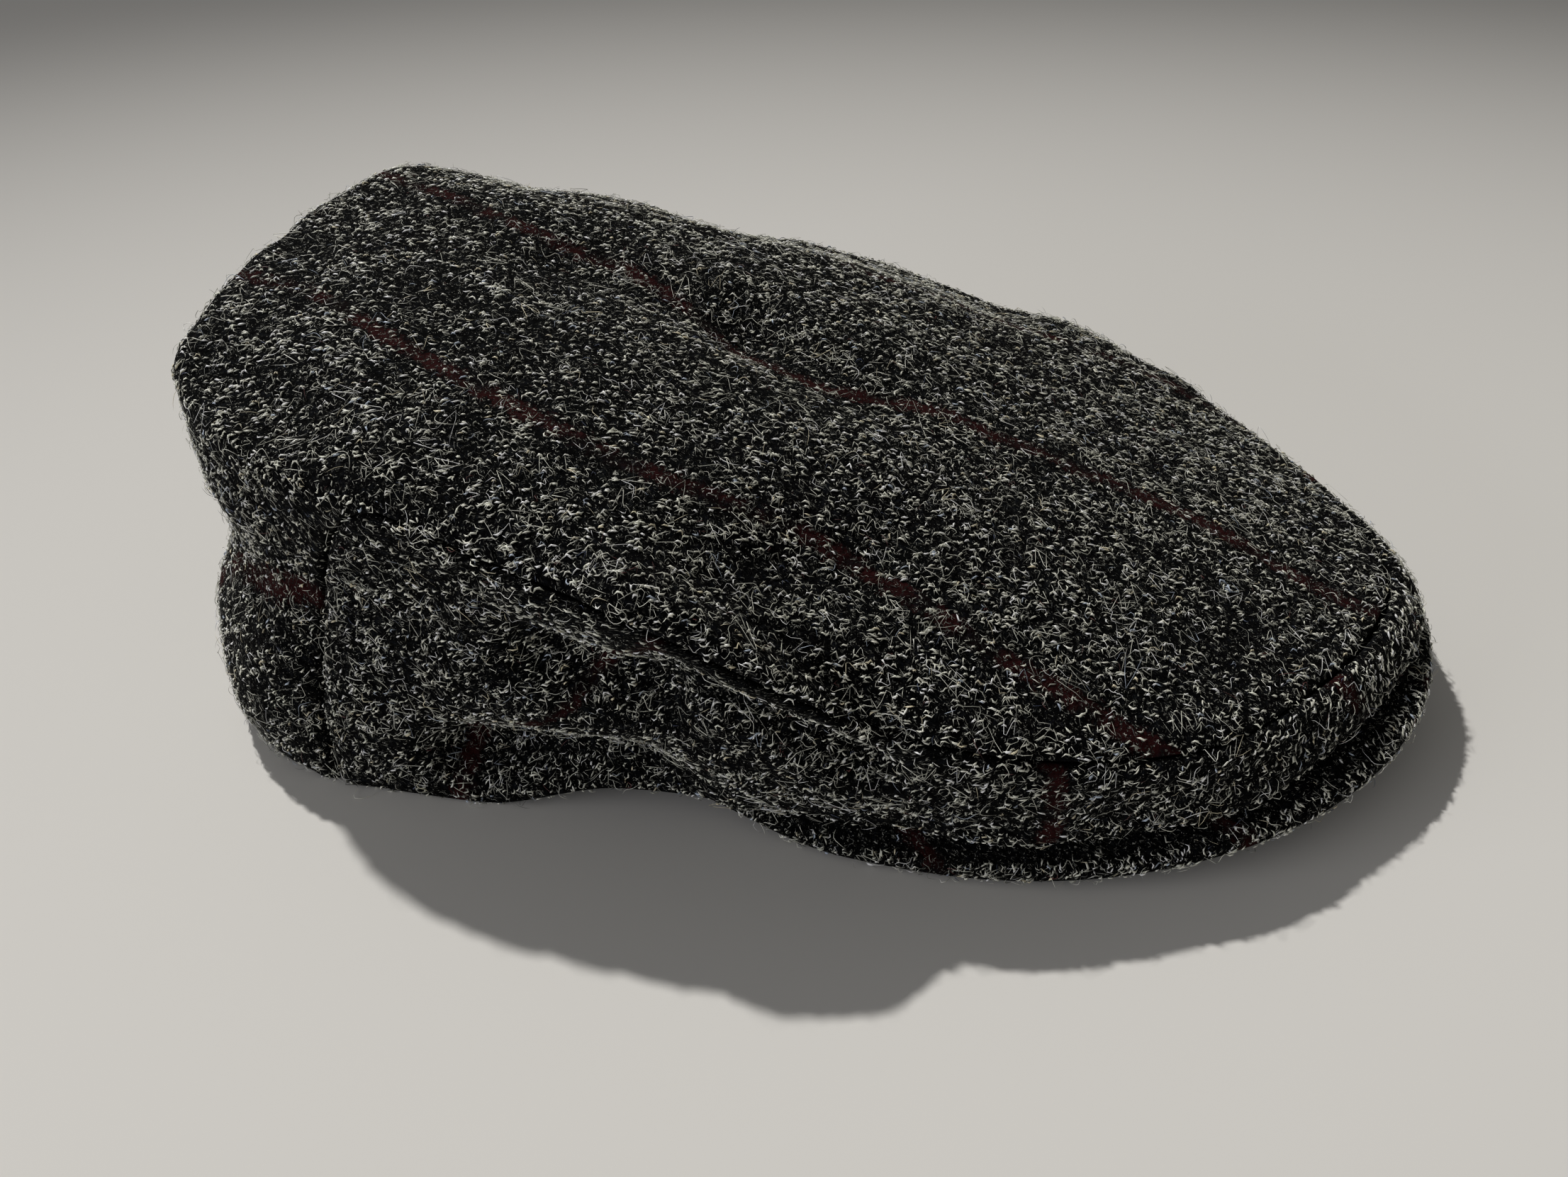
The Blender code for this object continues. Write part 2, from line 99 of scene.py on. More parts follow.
# One row per station from the centre back to the centre front. Lengths along the cap are
# shares of CROWN_LENGTH measured from the back, widths are shares of half the crown's or the
# rim's width, heights are shares of CROWN_HEIGHT, on the right and on the left side. Skirt and
# waist are how far the wall stands out low down and high up, as shares of CROWN_HEIGHT.
Station = namedtuple(
    "Station", "shoulder_along shoulder_out right_up left_up rim_along rim_out skirt waist")
STATIONS = [
    Station(-0.008, 0.00, 0.970, 0.970, 0.014, 0.000, 0.00, -0.035),
    Station(-0.004, 0.325, 0.965, 0.970, 0.016, 0.345, 0.00, -0.035),
    Station(0.021, 0.63, 0.930, 0.945, 0.028, 0.710, 0.02, -0.045),
    Station(0.118, 0.85, 0.880, 0.790, 0.112, 0.955, 0.02, -0.045),
    Station(0.275, 0.950, 0.785, 0.675, 0.255, 0.990, 0.02, -0.005),
    Station(0.437, 1.005, 0.655, 0.615, 0.437, 0.915, 0.02, 0.02),
    Station(0.588, 0.967, 0.440, 0.545, 0.592, 0.945, 0.02, 0.02),
    Station(0.733, 0.868, 0.345, 0.410, 0.744, 0.915, 0.01, 0.01),
    Station(0.866, 0.626, 0.333, 0.345, 0.885, 0.680, 0.01, 0.01),
    Station(0.971, 0.00, 0.345, 0.345, 1.000, 0.000, 0.01, 0.01),
]
SKIRT_AT = 0.27              # heights of the skirt and the waist, in w
WAIST_AT = 0.62
ROLL_DOWN = 0.11             # the shoulder's edge is rolled over from this far below it, in w,
ROLL_IN = 0.06               # to this far in on the crown, and over the panels by this share
PANEL_ROLL = 0.6

Spine = namedtuple("Spine", "along up")
SPINE = [
    Spine(0.00, 0.945),
    Spine(0.11, 0.960),
    Spine(0.26, 0.920),
    Spine(0.44, 0.820),
    Spine(0.59, 0.700),
    Spine(0.74, 0.580),
    Spine(0.88, 0.460),
    Spine(0.971, 0.345),
]
CROWN_CENTRE = 0.47          # where the crown's middle lies along it
DOME_SHARPNESS = 3.0         # higher ones give the crown a flatter top and a tighter edge
DOME_FULLNESS = 0.75
FOLD_START = 0.17            # folds fade out from this w down to the rim

# Dents and folds: a valley (depth above 0) or ridge (below 0) along a line between two places
# of the surface. Places are shares of CROWN_LENGTH, half CROWN_WIDTH (right side negative) and
# CROWN_HEIGHT; width and depth are shares of CROWN_HEIGHT.
Fold = namedtuple("Fold", "name start end width depth")
FOLDS = [
    Fold("tuck above the right rim", (0.28, -0.98, 0.15), (0.405, -0.96, 0.13), 0.108, 0.135),
    Fold("dent in the right panel", (0.35, -0.98, 0.51), (0.43, -0.98, 0.45), 0.085, 0.105),
    Fold("valley under the crown's edge", (0.44, -1.00, 0.55), (0.59, -0.98, 0.34), 0.055, 0.075),
    Fold("roll of the crown's edge", (0.41, -0.94, 0.74), (0.55, -0.98, 0.56), 0.06, -0.045),
    Fold("crease into the crown's seam", (0.51, -0.92, 0.65), (0.60, -0.945, 0.44), 0.045, 0.045),
    Fold("hollow over the right temple", (0.48, -0.79, 0.73), (0.55, -0.67, 0.67), 0.13, 0.040),
    Fold("hollow at the right back corner", (0.06, -0.64, 0.91), (0.14, -0.75, 0.90), 0.10, 0.030),
    Fold("long valley, back part", (0.25, 0.13, 0.92), (0.41, 0.05, 0.85), 0.12, 0.035),
    Fold("long valley, front part", (0.41, 0.05, 0.85), (0.52, -0.08, 0.76), 0.13, 0.045),
    Fold("sag of the left edge", (0.33, 0.80, 0.76), (0.60, 0.85, 0.61), 0.17, 0.045),
    Fold("bulge of the left temple", (0.68, 0.82, 0.52), (0.78, 0.75, 0.46), 0.17, -0.030),
    Fold("dip behind the left back corner", (0.13, 0.62, 0.94), (0.17, 0.80, 0.80), 0.12, 0.020),
    Fold("right tail seam", (0.155, -0.94, 0.08), (0.150, -0.90, 0.60), 0.05, 0.030),
    Fold("left tail seam", (0.155, 0.94, 0.08), (0.150, 0.90, 0.60), 0.06, 0.022),
    Fold("bulge of the right back corner", (0.04, -0.62, 0.72), (0.09, -0.80, 0.68), 0.12, -0.030),
    Fold("pinch of the right back wall", (0.04, -0.62, 0.50), (0.10, -0.80, 0.48), 0.14, 0.045),
    Fold("ridge beside the tail seam", (0.09, -0.84, 0.15), (0.12, -0.86, 0.45), 0.10, -0.025),
]

# The relaxed cloth also ripples all over, in soft waves of these lengths
RIPPLES = 14
RIPPLE_SEED = 4
RIPPLE_SHORTEST = 11 * MM
RIPPLE_LONGEST = 34 * MM
RIPPLE_HEIGHT = 0.09 * MM    # of each wave

# Turned edges: the cloth dives into a seam over the radius and puffs up a little beside it
SEAM_RADIUS = 2.1 * MM
TAIL_SEAM = 1.25             # how deep the tail's seams are, as a share of the radius,
TOP_SEAM = 0.68              # the crown's seam, which takes in all above this w,
TOP_SEAM_FROM = 0.88
FRONT_SEAM = 0.42            # and the same seam in front, where wool hides part of it
FRONT_FROM = 150 * MM
FRONT_OVER = 35 * MM
PUFF = 0.45 * MM
PUFF_WIDTH = 3.5 * MM
PUCKER = 0.15 * MM           # small puckers along the puff, this much closer than the ripples
PUCKER_CLOSER = 3
RIM_RADIUS = 1.15 * MM
LEAST_WALL = 0.3 * MM        # what a seam leaves of the cloth
EDGE_STEPS = np.array([0, 0.1, 0.3, 0.6, 1.0, 1.5]) * MM  # of the mesh beside a turned edge

# Wool beside the seams: none on the seam itself, and all of it from this far away
SEAM_FREE = 1.6 * MM
LEFT_ON_SEAM = 0.05          # share of the wool that lies on a seam all the same
NO_GROOVE = 1.0              # stands for the distance to the groove where there is none
ROLL_SHADOW_BARE = 0.9 * MM        # painted shadow: the panels are bare of pale wool this close under the crown's rolled edge, where its shadow falls, and the wool thickens slowly below
UNDER_ROLL_SLOPE = 0.42      # the wool thickens slowly below
UNDER_ROLL_ABOVE = 0.6       # in w
UNDER_ROLL_FROM = 88 * MM    # along the cap
UNDER_ROLL_TO = 170 * MM
UNDER_ROLL_FADE = 22 * MM

# Over the peak the panel's hem is rolled and drawn in, with a groove between it and the peak.
# Rows of how far in it lies at the sides and at the centre front, at each height above the peak.
Hem = namedtuple("Hem", "up side front")
HEM = [
    Hem(0.0, 6.0, 2.2), Hem(1.6, 6.4, 1.8), Hem(3.2, 5.6, -0.2), Hem(4.1, 3.4, -1.0),
    Hem(5.0, 1.7, -1.3), Hem(6.6, 1.1, -1.4), Hem(8.6, 1.4, -1.1), Hem(11.0, 1.6, -0.6),
    Hem(14.5, 1.0, -0.2), Hem(19.0, 0.0, 0.0),
]
HEM_START = 8 * MM           # ahead of the peak's rear end, over this length
HEM_LENGTH = 35 * MM
HEM_FRONT = 0.74             # where the front's hem starts and is full, in CROWN_LENGTH
HEM_FRONT_FULL = 0.94
HEM_FOLLOWS = 15 * MM        # up to here the wall follows the peak's height as it is drawn in
GROOVE_FROM = 0.3            # painted shade: the groove is left bare of pale wool where the hem is drawn in by this share
GROOVE_UP = 4.0 * MM         # hardly any tufts lie lower than this over the peak, which darkens the groove as painted shade
GROOVE_UP_FRONT = 2.2 * MM
PEAK_COVER = 0.5 * MM        # how far the tweed stands proud of the peak's board
HORN_FADE = 0.30             # over this angle the cover thins towards the horns' ends,
HORN_THIN = 0.3              # to this share of its thickness,
HORN_TUCK = 2.0 * MM         # and is tucked in under the panels

# How finely the pieces are meshed, and how finely lengths along their surface are measured
PANEL_COLUMNS = 130
PANEL_ROWS = 30
TAIL_COLUMNS = 84
CROWN_RINGS = 42
PEAK_COLUMNS = 180
PEAK_ROWS = 22
PEAK_CROWDING = 0.8          # rows lie closer towards the peak's outer edge
EDGE_POINTS = 9
UP_STEPS = 25
ACROSS_STEPS = 41
INWARD_STEPS = 33
USUAL_WALL = 60 * MM         # height of the wall that the first guess at its rows is made for


def smoothstep(value):
    t = np.clip(value, 0.0, 1.0)
    return t * t * (3 - 2 * t)


def around(right, u, left=None):
    """Smooth closed curve through one value per station; u runs from 0 at the centre back
    over the right side to 0.5 at the centre front and on to 1 over the left side."""
    right = list(right)
    left = right if left is None else list(left)
    ring = np.array(right + left[-2:0:-1])
    place = np.mod(np.asarray(u, float), 1.0) * len(ring)
    first = np.floor(place).astype(int)
    t = place - first
    a, b, c, d = (ring[(first + step) % len(ring)] for step in (-1, 0, 1, 2))
    return b + 0.5 * t * (c - a + t * (2 * a - 5 * b + 4 * c - d + t * (3 * (b - c) + d - a)))


def along_spine(x):
    share = x / CROWN_LENGTH
    knots = np.array([row.along for row in SPINE])
    heights = np.array([row.up for row in SPINE])
    slopes = np.gradient(heights, knots)
    share = np.clip(share, knots[0], knots[-1])
    cell = np.clip(np.searchsorted(knots, share) - 1, 0, len(knots) - 2)
    span = knots[cell + 1] - knots[cell]
    t = (share - knots[cell]) / span
    up = ((1 + 2 * t) * (1 - t) ** 2 * heights[cell] + t * (1 - t) ** 2 * span * slopes[cell]
          + t ** 2 * (3 - 2 * t) * heights[cell + 1] + t ** 2 * (t - 1) * span * slopes[cell + 1])
    return up * CROWN_HEIGHT


def peak_tip():
    return CROWN_LENGTH + PEAK_LIP


def peak_widest():
    return peak_tip() - (1 - PEAK_WIDEST) * PEAK_REACH


def peak_half_width(x):
    """Half the peak's width at x: the full one in front of its widest place."""
    behind = (peak_widest() - x) / (peak_tip() - peak_widest())
    behind = np.clip(behind, 0, PEAK_WIDEST / (1 - PEAK_WIDEST))
    return PEAK_WIDTH / 2 * (1 - behind ** PEAK_SQUARENESS) ** (1 / PEAK_SQUARENESS)


def peak_top(x, y):
    """Height of the peak's upper face: arched across and falling a little to the front."""
    across = np.clip(np.abs(y) / peak_half_width(x), 0, 1)
    arch = 1 - across ** 2
    back = np.clip((peak_tip() - x) / PEAK_DEPTH, 0, 1)
    return PEAK_THICKNESS + arch * (PEAK_ARCH + PEAK_SLOPE * back)


def seat(x, y):
    """Height of what lies under the rim: the table, lifted off it behind the peak's corner,
    and the peak's upper face in front."""
    ahead = x - (peak_tip() - PEAK_REACH)
    lift = RIM_LIFT * smoothstep((ahead + LIFT_START) / LIFT_LENGTH)
    lift = lift * (1 - smoothstep(ahead / LIFT_LENGTH))
    over_peak = smoothstep((ahead + ONTO_PEAK) / ONTO_LENGTH)
    return np.maximum(lift, over_peak * (peak_top(x, y) + SEAM_GAP))


def column(name, u):
    """A column of the station table at u, the same on both sides."""
    return around([getattr(row, name) for row in STATIONS], u)


def width_column(name, u):
    """A column of widths, negative on the right side."""
    widths = [getattr(row, name) for row in STATIONS]
    return around([-w for w in widths], u, left=widths)


def rim_point(u):
    x = column("rim_along", u) * CROWN_LENGTH
    y = width_column("rim_out", u) * RIM_WIDTH / 2
    return np.stack([x, y, seat(x, y)], -1)


def shoulder_point(u):
    x = column("shoulder_along", u) * CROWN_LENGTH
    y = width_column("shoulder_out", u) * CROWN_WIDTH / 2
    z = around([row.right_up for row in STATIONS], u, left=[row.left_up for row in STATIONS])
    return np.stack([x, y, z * CROWN_HEIGHT], -1)


@functools.cache
def tail_seam():
    """The u of the right vertical seam, where the shoulder is TAIL_REACH from the back."""
    low, high = 0.0, 0.5
    while high - low > 1e-6:
        middle = (low + high) / 2
        if shoulder_point(middle)[0] < TAIL_REACH:
            low = middle
        else:
            high = middle
    return middle


def angular_surface(u, w):
    """Outer face with neither folds nor roll. w runs from 0 at the rim over 1 at the shoulder
    to POLE at the middle of the crown."""
    u, w = np.broadcast_arrays(np.asarray(u, float), np.asarray(w, float))
    rim, shoulder = rim_point(u), shoulder_point(u)
    s = np.clip(w, 0, 1)[..., None]
    outward = shoulder - [CROWN_CENTRE * CROWN_LENGTH, 0, 0]
    outward[..., 2] = 0
    outward /= np.linalg.norm(outward, axis=-1, keepdims=True)
    between = s * (1 - s) / (WAIST_AT - SKIRT_AT)
    skirt = between * (WAIST_AT - s) / (SKIRT_AT * (1 - SKIRT_AT)) * column("skirt", u)[..., None]
    waist = between * (s - SKIRT_AT) / (WAIST_AT * (1 - WAIST_AT)) * column("waist", u)[..., None]
    wall = rim + (shoulder - rim) * s + outward * (skirt + waist) * CROWN_HEIGHT
    r = np.clip(POLE - w, 0, 1)
    x = CROWN_CENTRE * CROWN_LENGTH + r * (shoulder[..., 0] - CROWN_CENTRE * CROWN_LENGTH)
    y = r * shoulder[..., 1]
    full = (1 - r ** DOME_SHARPNESS) ** DOME_FULLNESS
    z = shoulder[..., 2] * (1 - full) + along_spine(x) * full
    return np.where(w[..., None] <= 1, wall, np.stack([x, y, z], -1))


def plain_surface(u, w):
    """Outer face without folds: the shoulder's edge is rolled over."""
    u, w = np.broadcast_arrays(np.asarray(u, float), np.asarray(w, float))
    to_back = np.minimum(np.mod(u, 1), 1 - np.mod(u, 1)) / tail_seam()
    at_back = 1 - smoothstep(2 * to_back - 1)
    roll = PANEL_ROLL + (1 - PANEL_ROLL) * at_back
    down, over = ROLL_DOWN * roll, ROLL_IN * roll
    t = np.clip((w - 1 + down) / (down + over), 0, 1)[..., None]
    low, edge, high = (angular_surface(u, at) for at in (1 - down, 1.0, 1 + over))
    rolled = (1 - t) ** 2 * low + 2 * t * (1 - t) * edge + t ** 2 * high
    return np.where((t > 0) & (t < 1), rolled, angular_surface(u, w))


def normal_of(surface, u, w):
    """Unit outward normal from small steps over the surface."""
    w = np.clip(w, W_STEP, TOP_NORMAL)
    across = surface(u + U_STEP, w) - surface(u - U_STEP, w)
    up = surface(u, w + W_STEP) - surface(u, w - W_STEP)
    normal = np.cross(across, up)
    return normal / np.linalg.norm(normal, axis=-1, keepdims=True)


def fold_depth(points):
    """How far the folds push each point inwards."""
    scale = np.array([CROWN_LENGTH, CROWN_WIDTH / 2, CROWN_HEIGHT])
    depth = np.zeros(points.shape[:-1])
    for fold in FOLDS:
        start, end = np.array(fold.start) * scale, np.array(fold.end) * scale
        run = end - start
        t = np.clip(((points - start) @ run) / (run @ run), 0, 1)
        distance = np.linalg.norm(points - start - t[..., None] * run, axis=-1)
        depth += fold.depth * CROWN_HEIGHT * np.exp(-(distance / (fold.width * CROWN_HEIGHT)) ** 2)
    return depth


def ripple(points):
    """Height of the soft waves at each point."""
    chance = np.random.default_rng(RIPPLE_SEED)
    height = np.zeros(points.shape[:-1])
    for _ in range(RIPPLES):
        way = chance.normal(size=3)
        way /= np.linalg.norm(way)
        length = RIPPLE_SHORTEST * (RIPPLE_LONGEST / RIPPLE_SHORTEST) ** chance.random()
        height += np.sin(points @ way * 2 * math.pi / length + chance.random() * 2 * math.pi)
    return height * RIPPLE_HEIGHT


def outer_surface(u, w):
    points = plain_surface(u, w)
    u, w = np.broadcast_arrays(np.asarray(u, float), np.asarray(w, float))
    push = (fold_depth(points) - ripple(points)) * smoothstep(w / FOLD_START)
    return points - normal_of(plain_surface, u, w) * push[..., None]


def over_the_peak(x):
    return smoothstep((x - (peak_tip() - PEAK_REACH) - HEM_START) / HEM_LENGTH)


def in_front(x):
    return smoothstep((x / CROWN_LENGTH - HEM_FRONT) / (HEM_FRONT_FULL - HEM_FRONT))


def draw_in_hem(points, normal):
    """The wall's points with the hem over the peak drawn in, and their heights above it."""
    x, y, z = points.T
    up = z - seat(x, y)
    rows = [row.up for row in HEM]
    side = np.interp(up / MM, rows, [row.side for row in HEM]) * MM
    front = np.interp(up / MM, rows, [row.front for row in HEM]) * MM
    inwards = (side + (front - side) * in_front(x)) * over_the_peak(x)
    level = normal[:, :2] / np.maximum(np.linalg.norm(normal[:, :2], axis=1, keepdims=True), 1e-9)
    moved = points[:, :2] - level * inwards[:, None]
    drawn = over_the_peak(x) * (1 - smoothstep(up / HEM_FOLLOWS))
    rise = (seat(moved[:, 0], moved[:, 1]) - seat(x, y)) * drawn
    return np.column_stack([moved, z + rise]), up


def run_along(u, w):
    """Lengths of the lines through the last axis of a grid of u and w, summed from its start."""
    points = outer_surface(u, w)
    steps = np.linalg.norm(np.diff(points, axis=-2), axis=-1)
    return np.concatenate([np.zeros(steps.shape[:-1] + (1,)), np.cumsum(steps, -1)], -1)


def spread(lengths, count, start_gap, end_gap, crowd_start=True, crowd_end=True):
    """Shares of lines of these lengths, crowded by EDGE_STEPS at the ends that ask for it."""
    lengths = np.asarray(lengths, float)[..., None]
    first = (start_gap + (EDGE_STEPS if crowd_start else EDGE_STEPS[:1])) / lengths
    last = 1 - (end_gap + (EDGE_STEPS if crowd_end else EDGE_STEPS[:1]))[::-1] / lengths
    middle = np.linspace(0, 1, count + 1)[1:-1]
    middle = first[..., -1:] + (last[..., :1] - first[..., -1:]) * middle
    return np.concatenate([first, middle, last], -1)


def seam_line(w):
    """u of the right vertical seam at each height."""
    top = tail_seam()
    speed = np.linalg.norm(outer_surface(top + U_STEP, 0.5) - outer_surface(top - U_STEP, 0.5))
    speed /= 2 * U_STEP
    w = np.clip(w, 0, 1)
    return top - (TAIL_CURVE * (1 - w ** TAIL_CORNER) - TAIL_FLARE * (1 - w) ** 2) / speed


def lengths_of_walls(u):
    """From the rim to the shoulder, along the wall."""
    steps = np.linspace(0, 1, UP_STEPS)
    return run_along(u[:, None], steps[None])[:, -1]


def lengths_of_rows(start, end, w):
    """From one u to another along the surface, at each w."""
    steps = np.linspace(0, 1, ACROSS_STEPS)
    u = start[:, None] + (end - start)[:, None] * steps
    return run_along(u, w[:, None] * np.ones_like(u))[:, -1]


HALF_GAP = SEAM_GAP / 2


def wall_grid(start_of, end_of, columns, crowd_top):
    """u and w of a wall between two seams, each a function of w."""
    rows = spread(USUAL_WALL, PANEL_ROWS, 0, HALF_GAP, crowd_end=crowd_top)
    across = lengths_of_rows(start_of(rows), end_of(rows), rows)
    shares = spread(across, columns, HALF_GAP, HALF_GAP)
    middle = len(rows) // 2
    mid_start, mid_end = start_of(rows)[middle], end_of(rows)[middle]
    tall = lengths_of_walls(mid_start + (mid_end - mid_start) * shares[middle])
    w = spread(tall, PANEL_ROWS, 0, HALF_GAP if crowd_top else 0, crowd_end=crowd_top).T
    u = start_of(w) + (end_of(w) - start_of(w)) * shares
    return u, w


class Cloth:
    """The outer face of one piece as a quad mesh, with its border and its cloth directions."""

    def __init__(self):
        self.u, self.w, self.faces = np.zeros(0), np.zeros(0), []

    def add(self, u, w):
        first = len(self.u)
        self.u = np.concatenate([self.u, u.ravel()])
        self.w = np.concatenate([self.w, w.ravel()])
        return np.arange(first, first + u.size).reshape(u.shape)

    def skin(self, grid, closed=False):
        low, high = grid[:-1], grid[1:]
        after = np.roll(grid, -1, 1)
        quads = np.stack([low, after[:-1], after[1:], high], -1)
        if not closed:
            quads = quads[:, :-1]
        self.faces.append(quads.reshape(-1, 4))

    def fan(self, ring, tip):
        quads = np.stack([ring, np.roll(ring, -1), np.full(len(ring), tip),
                          np.full(len(ring), tip)], -1)
        self.faces.append(quads)


def border_of(faces):
    """Directed edges that only one face uses. A face is four corners; a repeated one is dropped."""
    edges = set()
    for face in faces.tolist():
        for a, b in zip(face, face[1:] + face[:1]):
            if a != b:
                edges.add((a, b))
    return np.array([edge for edge in edges if (edge[1], edge[0]) not in edges])


def distance_to(points, line):
    tree = kdtree.KDTree(len(line))
    for index, point in enumerate(line):
        tree.insert(point, index)
    tree.balance()
    return np.array([tree.find(point)[2] for point in points])


def turn_in(distance, radius):
    """Depth of a round turned edge at this distance from it."""
    near = np.clip(1 - distance / radius, 0, 1)
    return radius * (1 - np.sqrt(1 - near ** 2))


def cap_origin():
    """Where the cap's own frame starts in the row frame."""
    low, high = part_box("peak")
    return np.array([high.x - peak_tip(), (low.y + high.y) / 2, cad_low.z])


def into_scene(name, data):
    item = bpy.data.objects.new(name, data)
    bpy.context.scene.collection.objects.link(item)
    return item


def new_mesh(name, points, faces, material):
    """A mesh of faces with three or four corners, in the row frame."""
    mesh = bpy.data.meshes.new(name)
    mesh.from_pydata(points.tolist(), [], faces)
    mesh.shade_smooth()
    mesh.materials.append(material)
    return into_scene(name, mesh)


def keep(mesh, name, values):
    """Stores one vector per vertex under a name that a material reads."""
    layer = mesh.attributes.new(name, "FLOAT_VECTOR", "POINT")
    layer.data.foreach_set("vector", np.asarray(values, np.float32).ravel())


def roll_shadow_place(x, w):
    """Where a side panel lies under the crown's rolled edge, 0 to 1: bared there as painted shadow.
    """
    ahead = (x - UNDER_ROLL_FROM) / UNDER_ROLL_FADE
    behind = (UNDER_ROLL_TO - x) / UNDER_ROLL_FADE
    return smoothstep(ahead) * smoothstep(behind) * (w > UNDER_ROLL_ABOVE)


def off_groove_shade(points, up):
    """How far each place of a side panel, up over the peak by so much, is from the groove, which is
    bared of pale wool as painted shade.
    """
    x = points[:, 0]
    bare = GROOVE_UP + (GROOVE_UP_FRONT - GROOVE_UP) * in_front(x)
    return np.where(over_the_peak(x) > GROOVE_FROM, up - bare, NO_GROOVE)


def turned_seams(points, w, to_seam, hemmed):
    """How deep each place dives into the seams, less what it puffs up beside them, and how far it
    is from a bare seam: a shallow seam bares less of the cloth, and the band under the crown's
    rolled edge is bared wider as painted shadow."""
    pucker = PUCKER * np.sin(
        2 * math.pi * ripple(points * PUCKER_CLOSER) / RIPPLE_HEIGHT / 4)
    beside = np.exp(-((to_seam - PUFF_WIDTH) / PUFF_WIDTH) ** 2)
    firm = np.where(w > TOP_SEAM_FROM, TOP_SEAM, TAIL_SEAM)
    firm = firm + (FRONT_SEAM - firm) * smoothstep((points[:, 0] - FRONT_FROM) / FRONT_OVER)
    depth = (turn_in(to_seam, SEAM_RADIUS) - beside * (PUFF + pucker)) * firm
    # painted shadow: a bare band of the side panel under the crown's rolled edge
    roll_shadow = roll_shadow_place(points[:, 0], w) if hemmed else 0
    slope = 1 / firm ** 2 + (UNDER_ROLL_SLOPE - 1 / firm ** 2) * roll_shadow
    return depth, to_seam * slope - ROLL_SHADOW_BARE * roll_shadow


def build_shell(name, cloth, coordinates, material, hemmed=False):
    """The cloth's outer face with turned seams, its inner face and the edges between them.
    Returns the piece, the outer face, its faces and how far each point is from a bare seam."""
    faces = np.concatenate(cloth.faces)
    u, w = cloth.u, cloth.w
    outer = outer_surface(u, w)
    normal = normal_of(plain_surface, u, w)
    if hemmed:
        outer, up = draw_in_hem(outer, normal)
    border = border_of(faces)
    at_rim = w[border].max(1) < 1e-6
    to_seam = distance_to(outer, outer[np.unique(border[~at_rim])])
    to_rim = distance_to(outer, outer[np.unique(border[at_rim])])
    seam_depth, free = turned_seams(outer, w, to_seam, hemmed)
    # painted shade: the groove over the peak is kept bare of pale wool
    if hemmed:
        free = np.minimum(free, off_groove_shade(outer, up))
    rim_depth = turn_in(to_rim, RIM_RADIUS)
    depth = np.clip(seam_depth + rim_depth, -PUFF - PUCKER, WALL - LEAST_WALL)
    inner = outer - normal * (WALL - rim_depth)[:, None]
    inner[:, 2] = np.maximum(inner[:, 2], seat(inner[:, 0], inner[:, 1]))
    outer = outer - normal * depth[:, None]
    count = len(u)
    kept = [tuple(dict.fromkeys(face)) for face in faces.tolist()]
    whole = list(kept)
    whole += [tuple(v + count for v in reversed(face)) for face in kept]
    whole += [(b, a, a + count, b + count) for a, b in border.tolist()]
    points = np.concatenate([outer, inner]) + cap_origin()
    piece = new_mesh(name, points, whole, material)
    keep(piece.data, "cloth", np.concatenate([coordinates, coordinates]))
    return piece, outer + cap_origin(), kept, free


def unfold_crown(u, reach):
    """Where a place of the crown or tail lies on the flat cloth: reach is its distance from the
    crown's middle along the cloth."""
    shoulder = shoulder_point(u)
    middle = CROWN_CENTRE * CROWN_LENGTH
    way = np.arctan2(shoulder[:, 1], shoulder[:, 0] - middle)
    return middle + reach * np.cos(way), reach * np.sin(way)


# The overcheck: dark red lines this far apart, with a slightly paler stripe midway between two.
# On the crown each line's course is a list of places on the flat cloth, in mm.
CHECK = 64 * MM
HALF_LINE = 2.0              # half a red line's width, in mm
HALF_STRIPE = 0.9 * MM       # half the paler stripe's width
OFF_STRIPE = 1.5 * MM        # the panels keep this clear of it, because none shows there
Place = namedtuple("Place", "along across")
CROWN_LINES = [
    [Place(-90, -62), Place(-18, -84), Place(-5, -90), Place(13, -94), Place(23, -97),
     Place(60, -110), Place(120, -122), Place(230, -141)],
    [Place(-80, 20), Place(0, -18), Place(21, -23), Place(47, -38), Place(67, -47),
     Place(87, -54), Place(107, -59), Place(126, -59), Place(145, -57), Place(160, -61),
     Place(181, -69), Place(203, -73), Place(230, -78)],
    [Place(-80, 90), Place(0, 48), Place(24, 37), Place(49, 25), Place(65, 21), Place(81, 19),
     Place(96, 12), Place(114, 3), Place(126, -4), Place(135, -6), Place(149, -4),
     Place(190, -6), Place(225, -6), Place(251, -13), Place(280, -18)],
    [Place(-80, 165), Place(0, 112), Place(50, 90), Place(100, 68), Place(137, 56),
     Place(176, 62), Place(218, 64), Place(280, 56)],
]


def crown_lines(x, y):
    """Distance across the overcheck on the crown: a multiple of CHECK lies on a red line."""
    courses = [np.interp(x / MM, [place.along for place in line], [place.across for place in line])
               for line in CROWN_LINES]
    count = np.zeros(len(x))
    for k, (low, high) in enumerate(zip(courses, courses[1:])):
        share = (y / MM - low) / (high - low)
        count = np.where((share >= 0) | (k == 0), k + share, count)
    return count * CHECK


def unfold_panel(u, w):
    """Distances along a side panel from its vertical seam and up from its rim, for a grid."""
    middle = len(w) // 2
    along = run_along(u[middle], w[middle])
    return np.broadcast_to(along, u.shape), run_along(u.T, w.T).T


# The red lines on a side panel, from its vertical seam to the centre front: u at these heights
PANEL_LINE_HEIGHTS = [0.0, 0.22, 0.47, 0.87, 1.0]
PANEL_LINES = [
    [0.02, 0.02, 0.03, 0.04, 0.04],
    [0.225, 0.228, 0.254, 0.274, 0.279],
    [0.378, 0.378, 0.379, 0.380, 0.380],
    [0.468, 0.467, 0.465, 0.464, 0.464],
    [0.56, 0.56, 0.56, 0.56, 0.56],
]


